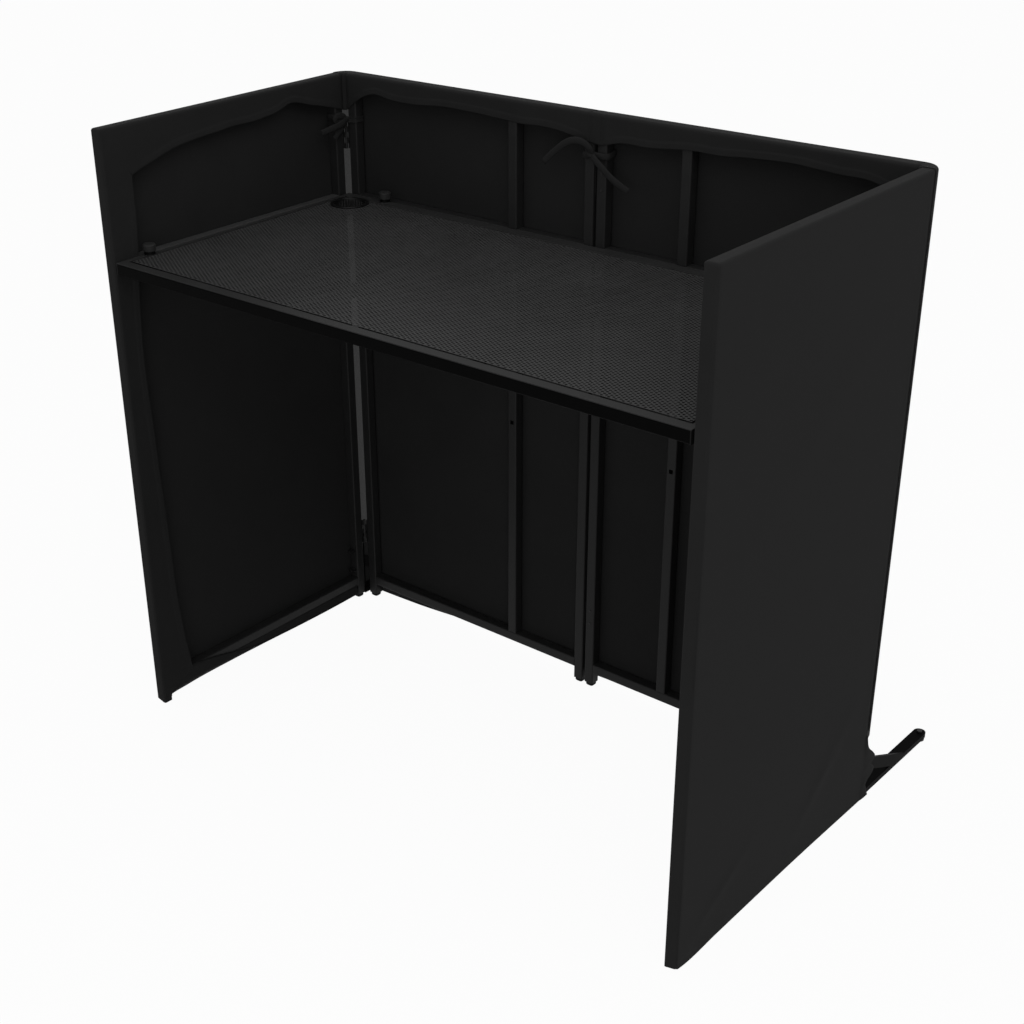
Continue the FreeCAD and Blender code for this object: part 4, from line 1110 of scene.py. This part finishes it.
def holed_cell(diameter, step_x, step_y):
    """A holed cell about its centre: the eight corners of its hole, and its own corners and side middles."""
    angle = np.arange(HOLE_SIDES) * 2 * np.pi / HOLE_SIDES
    circle = np.stack([np.cos(angle), np.sin(angle)], -1)
    cell = np.clip(circle * 2, -1, 1) * (step_x, step_y) / 2
    cell[np.abs(cell) < TINY] = 0
    return circle * diameter / 2, cell


def ring_middle(sign):
    """Middle of a cable ring's plan: as far inside the outermost side as half of the rings' depth."""
    low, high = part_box("cable_rings")
    half = (high.y - low.y) / 2
    return [sign * (high.x - half), low.y + half]


def plain_cells(centre, size_x, size_y):
    """The four corners of a plain cell about each centre."""
    corner = np.array([[-1, -1], [1, -1], [1, 1], [-1, 1]]) * (size_x / 2, size_y / 2)
    return centre[:, None] + corner


def rectangle(left, right, rear, front):
    """One plain cell from its four sides."""
    return np.array([[[left, rear], [right, rear], [right, front], [left, front]]])


def perforated(name, holed, hole, cell, flats, rings, cut, top):
    """The upper face of one length of the sheet: a ring of four-cornered faces in each holed cell, and one
    face in each plain cell.
    """
    count = len(holed)
    inner = holed[:, None] + hole
    outer = holed[:, None] + cell
    points = np.concatenate([outer.reshape(-1, 2), inner.reshape(-1, 2), flats.reshape(-1, 2)])
    points = pushed(points, rings, cut)
    sides = np.arange(HOLE_SIDES)
    after = np.roll(sides, -1)
    at = np.arange(count)[:, None] * HOLE_SIDES
    hole_at = count * HOLE_SIDES
    ring = np.stack([at + sides, at + after, at + after + hole_at, at + sides + hole_at], -1).reshape(-1, 4)
    plain = 2 * hole_at + np.arange(len(flats) * 4).reshape(-1, 4)
    quads = np.concatenate([ring, plain])
    piece = put_mesh(name, np.column_stack([points, np.full(len(points), top)]), quads)
    piece.data.polygons.foreach_set("use_smooth", np.zeros(len(quads), bool))
    weld(piece)
    return piece


def pushed(points, rings, cut):
    """Points nearer to a cable ring's middle than its cut are moved out to the cut."""
    for ring in rings:
        off = points - ring
        far = np.linalg.norm(off, axis=-1, keepdims=True)
        points = np.where((far < cut) & (far > TINY), ring + off * cut / np.maximum(far, TINY), points)
    return points


class BOOTH_OT_rings(bpy.types.Operator):
    """Makes the cable rings with their rounded lips and ribbed sleeves"""

    bl_idname = "booth.rings"
    bl_label = "Cable rings"

    def execute(self, context):
        for side, sign in SIDES.items():
            grid = cable_ring(ring_middle(sign), context.scene.booth_deck)
            piece = put_grids("cable_ring_%s" % side, (grid, False))
            dressed(piece, "deck", "black_plastic", "cable_rings", finish="ring_plastic")
        return {"FINISHED"}


def cable_ring(middle, deck):
    """A ring turned about its middle: a sleeve under a rounded lip, fluted inside by a cosine of the turn."""
    low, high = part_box("cable_rings")
    outer = (high.y - low.y) / 2
    sheet_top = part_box("deck_sheet")[1].z
    round_edge = RING_ROUND * (high.z - sheet_top)
    bore = outer - deck.ring_lip
    sleeve = bore + RING_WALL
    fall = np.linspace(0, np.pi / 2, ROUND_LINES)
    radius = np.concatenate([[sleeve, sleeve, outer], outer - round_edge * (1 - np.cos(fall)),
                             bore + round_edge * (1 - np.sin(fall)), np.full(BORE_LINES, bore), [sleeve]])
    level = np.concatenate([[low.z, sheet_top, sheet_top], high.z - round_edge * (1 - np.sin(fall)),
                            high.z - round_edge * (1 - np.cos(fall)),
                            np.linspace(high.z - round_edge - RING_SHOULDER, low.z, BORE_LINES), [low.z]])
    ribbed = np.zeros(len(radius))
    ribbed[-BORE_LINES:-1] = 1
    turn = np.linspace(0, 2 * np.pi, FLUTE_LINES * deck.ring_ribs + 1)
    flute = RING_FLUTE * (1 - np.cos(deck.ring_ribs * turn))
    spread = radius[:, None] + ribbed[:, None] * flute
    x = middle[0] + spread * np.cos(turn)
    y = middle[1] + spread * np.sin(turn)
    return np.stack([x, y, np.broadcast_to(level[:, None], x.shape)], -1)


class BOOTH_OT_stage(bpy.types.Operator):
    """Sets up the floor, the soft light and the camera"""

    bl_idname = "booth.stage"
    bl_label = "Stage"

    def execute(self, context):
        scene = context.scene
        stage = scene.booth_stage
        studio_floor(stage, scene.booth_finish.floor)
        area_light("key_light", stage.key, KEY_PLACE, KEY_SIZE)
        area_light("fill_light", stage.fill, FILL_PLACE, FILL_SIZE)
        white_world(scene, stage.world)
        set_camera(scene, stage)
        scene.view_settings.view_transform = "Standard"
        return {"FINISHED"}


def studio_floor(stage, colour):
    """A large flat floor that shows as nearly white and keeps the booth's shadow."""
    half = stage.floor_size / 2
    corner = np.array([-half, half])
    plane = np.stack([*np.meshgrid(corner, corner, indexing="ij"), np.zeros((2, 2))], -1)
    floor = put_grids("studio_floor", (plane, False))
    look = Finish("studio_floor", Specular_IOR_Level=0.1)
    look.shade(colour, look.noise(scale=0.6), spread=0.01)
    look.rough(0.85 + 0.05 * look.noise(scale=3.0))
    look.seen_white(stage.white)
    coat(floor, "studio_floor")


def set_camera(scene, stage):
    """The camera at its place, turned about the upright, tilted down and rolled."""
    camera = bpy.data.objects.new("camera", bpy.data.cameras.new("camera"))
    scene.collection.objects.link(camera)
    camera.data.lens = stage.lens
    camera.data.sensor_width = SENSOR_WIDTH
    camera.data.shift_x, camera.data.shift_y = stage.shift
    turn = Matrix.Rotation(stage.azimuth, 4, "Z")
    tilt = Matrix.Rotation(math.pi / 2 - stage.elevation, 4, "X")
    roll = Matrix.Rotation(stage.roll, 4, "Z")
    camera.matrix_world = Matrix.Translation(stage.place) @ (turn @ tilt @ roll)
    scene.camera = camera


def area_light(name, power, place, size):
    """A large soft lamp aimed at the middle of the booth."""
    lamp = bpy.data.lights.new(name, "AREA")
    lamp.shape = "RECTANGLE"
    lamp.size, lamp.size_y = size
    lamp.energy = power
    thing = bpy.data.objects.new(name, lamp)
    bpy.context.scene.collection.objects.link(thing)
    aim = Vector(LIGHT_AIM) - Vector(place)
    thing.matrix_world = Matrix.Translation(place) @ aim.to_track_quat("-Z", "Y").to_matrix().to_4x4()


def white_world(scene, strength):
    """Soft even light from all round, which the camera sees as white."""
    world = bpy.data.worlds.new("studio")
    world.use_nodes = True
    tree = world.node_tree
    tree.nodes.clear()
    light = tree.nodes.new("ShaderNodeBackground")
    light.inputs["Color"].default_value = WHITE
    join(tree, light.inputs["Strength"], strength + seen_rays(tree) * (1 - strength))
    out = tree.nodes.new("ShaderNodeOutputWorld")
    tree.links.new(light.outputs[0], out.inputs["Surface"])
    scene.world = world


class BOOTH_PT_panel(bpy.types.Panel):
    """The booth's operators and sizes"""

    bl_idname = "BOOTH_PT_panel"
    bl_label = "Folding booth"
    bl_space_type = "VIEW_3D"
    bl_region_type = "UI"
    bl_category = "Booth"

    def draw(self, context):
        for operator in OPERATORS:
            self.layout.operator(operator.bl_idname)
        for name in GROUPS:
            box = self.layout.box()
            group = getattr(context.scene, name)
            for prop in group.__annotations__:
                box.prop(group, prop)


GROUPS = {"booth_cover": BoothCover, "booth_deck": BoothDeck, "booth_finish": BoothFinish,
          "booth_stage": BoothStage}
OPERATORS = (BOOTH_OT_finishes, BOOTH_OT_panels, BOOTH_OT_strips, BOOTH_OT_ties, BOOTH_OT_feet,
             BOOTH_OT_deck, BOOTH_OT_rings, BOOTH_OT_stage)
CLASSES = (*GROUPS.values(), *OPERATORS, BOOTH_PT_panel)


def register():
    for cls in CLASSES:
        bpy.utils.register_class(cls)
    for name, group in GROUPS.items():
        setattr(bpy.types.Scene, name, PointerProperty(type=group))


def unregister():
    for name in GROUPS:
        delattr(bpy.types.Scene, name)
    for cls in reversed(CLASSES):
        bpy.utils.unregister_class(cls)


def main():
    """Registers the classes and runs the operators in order."""
    register()
    bpy.ops.booth.finishes()
    bpy.ops.booth.panels()
    bpy.ops.booth.strips()
    bpy.ops.booth.ties()
    bpy.ops.booth.feet()
    bpy.ops.booth.deck()
    bpy.ops.booth.rings()
    bpy.ops.booth.stage()


if __name__ == "__main__":
    main()
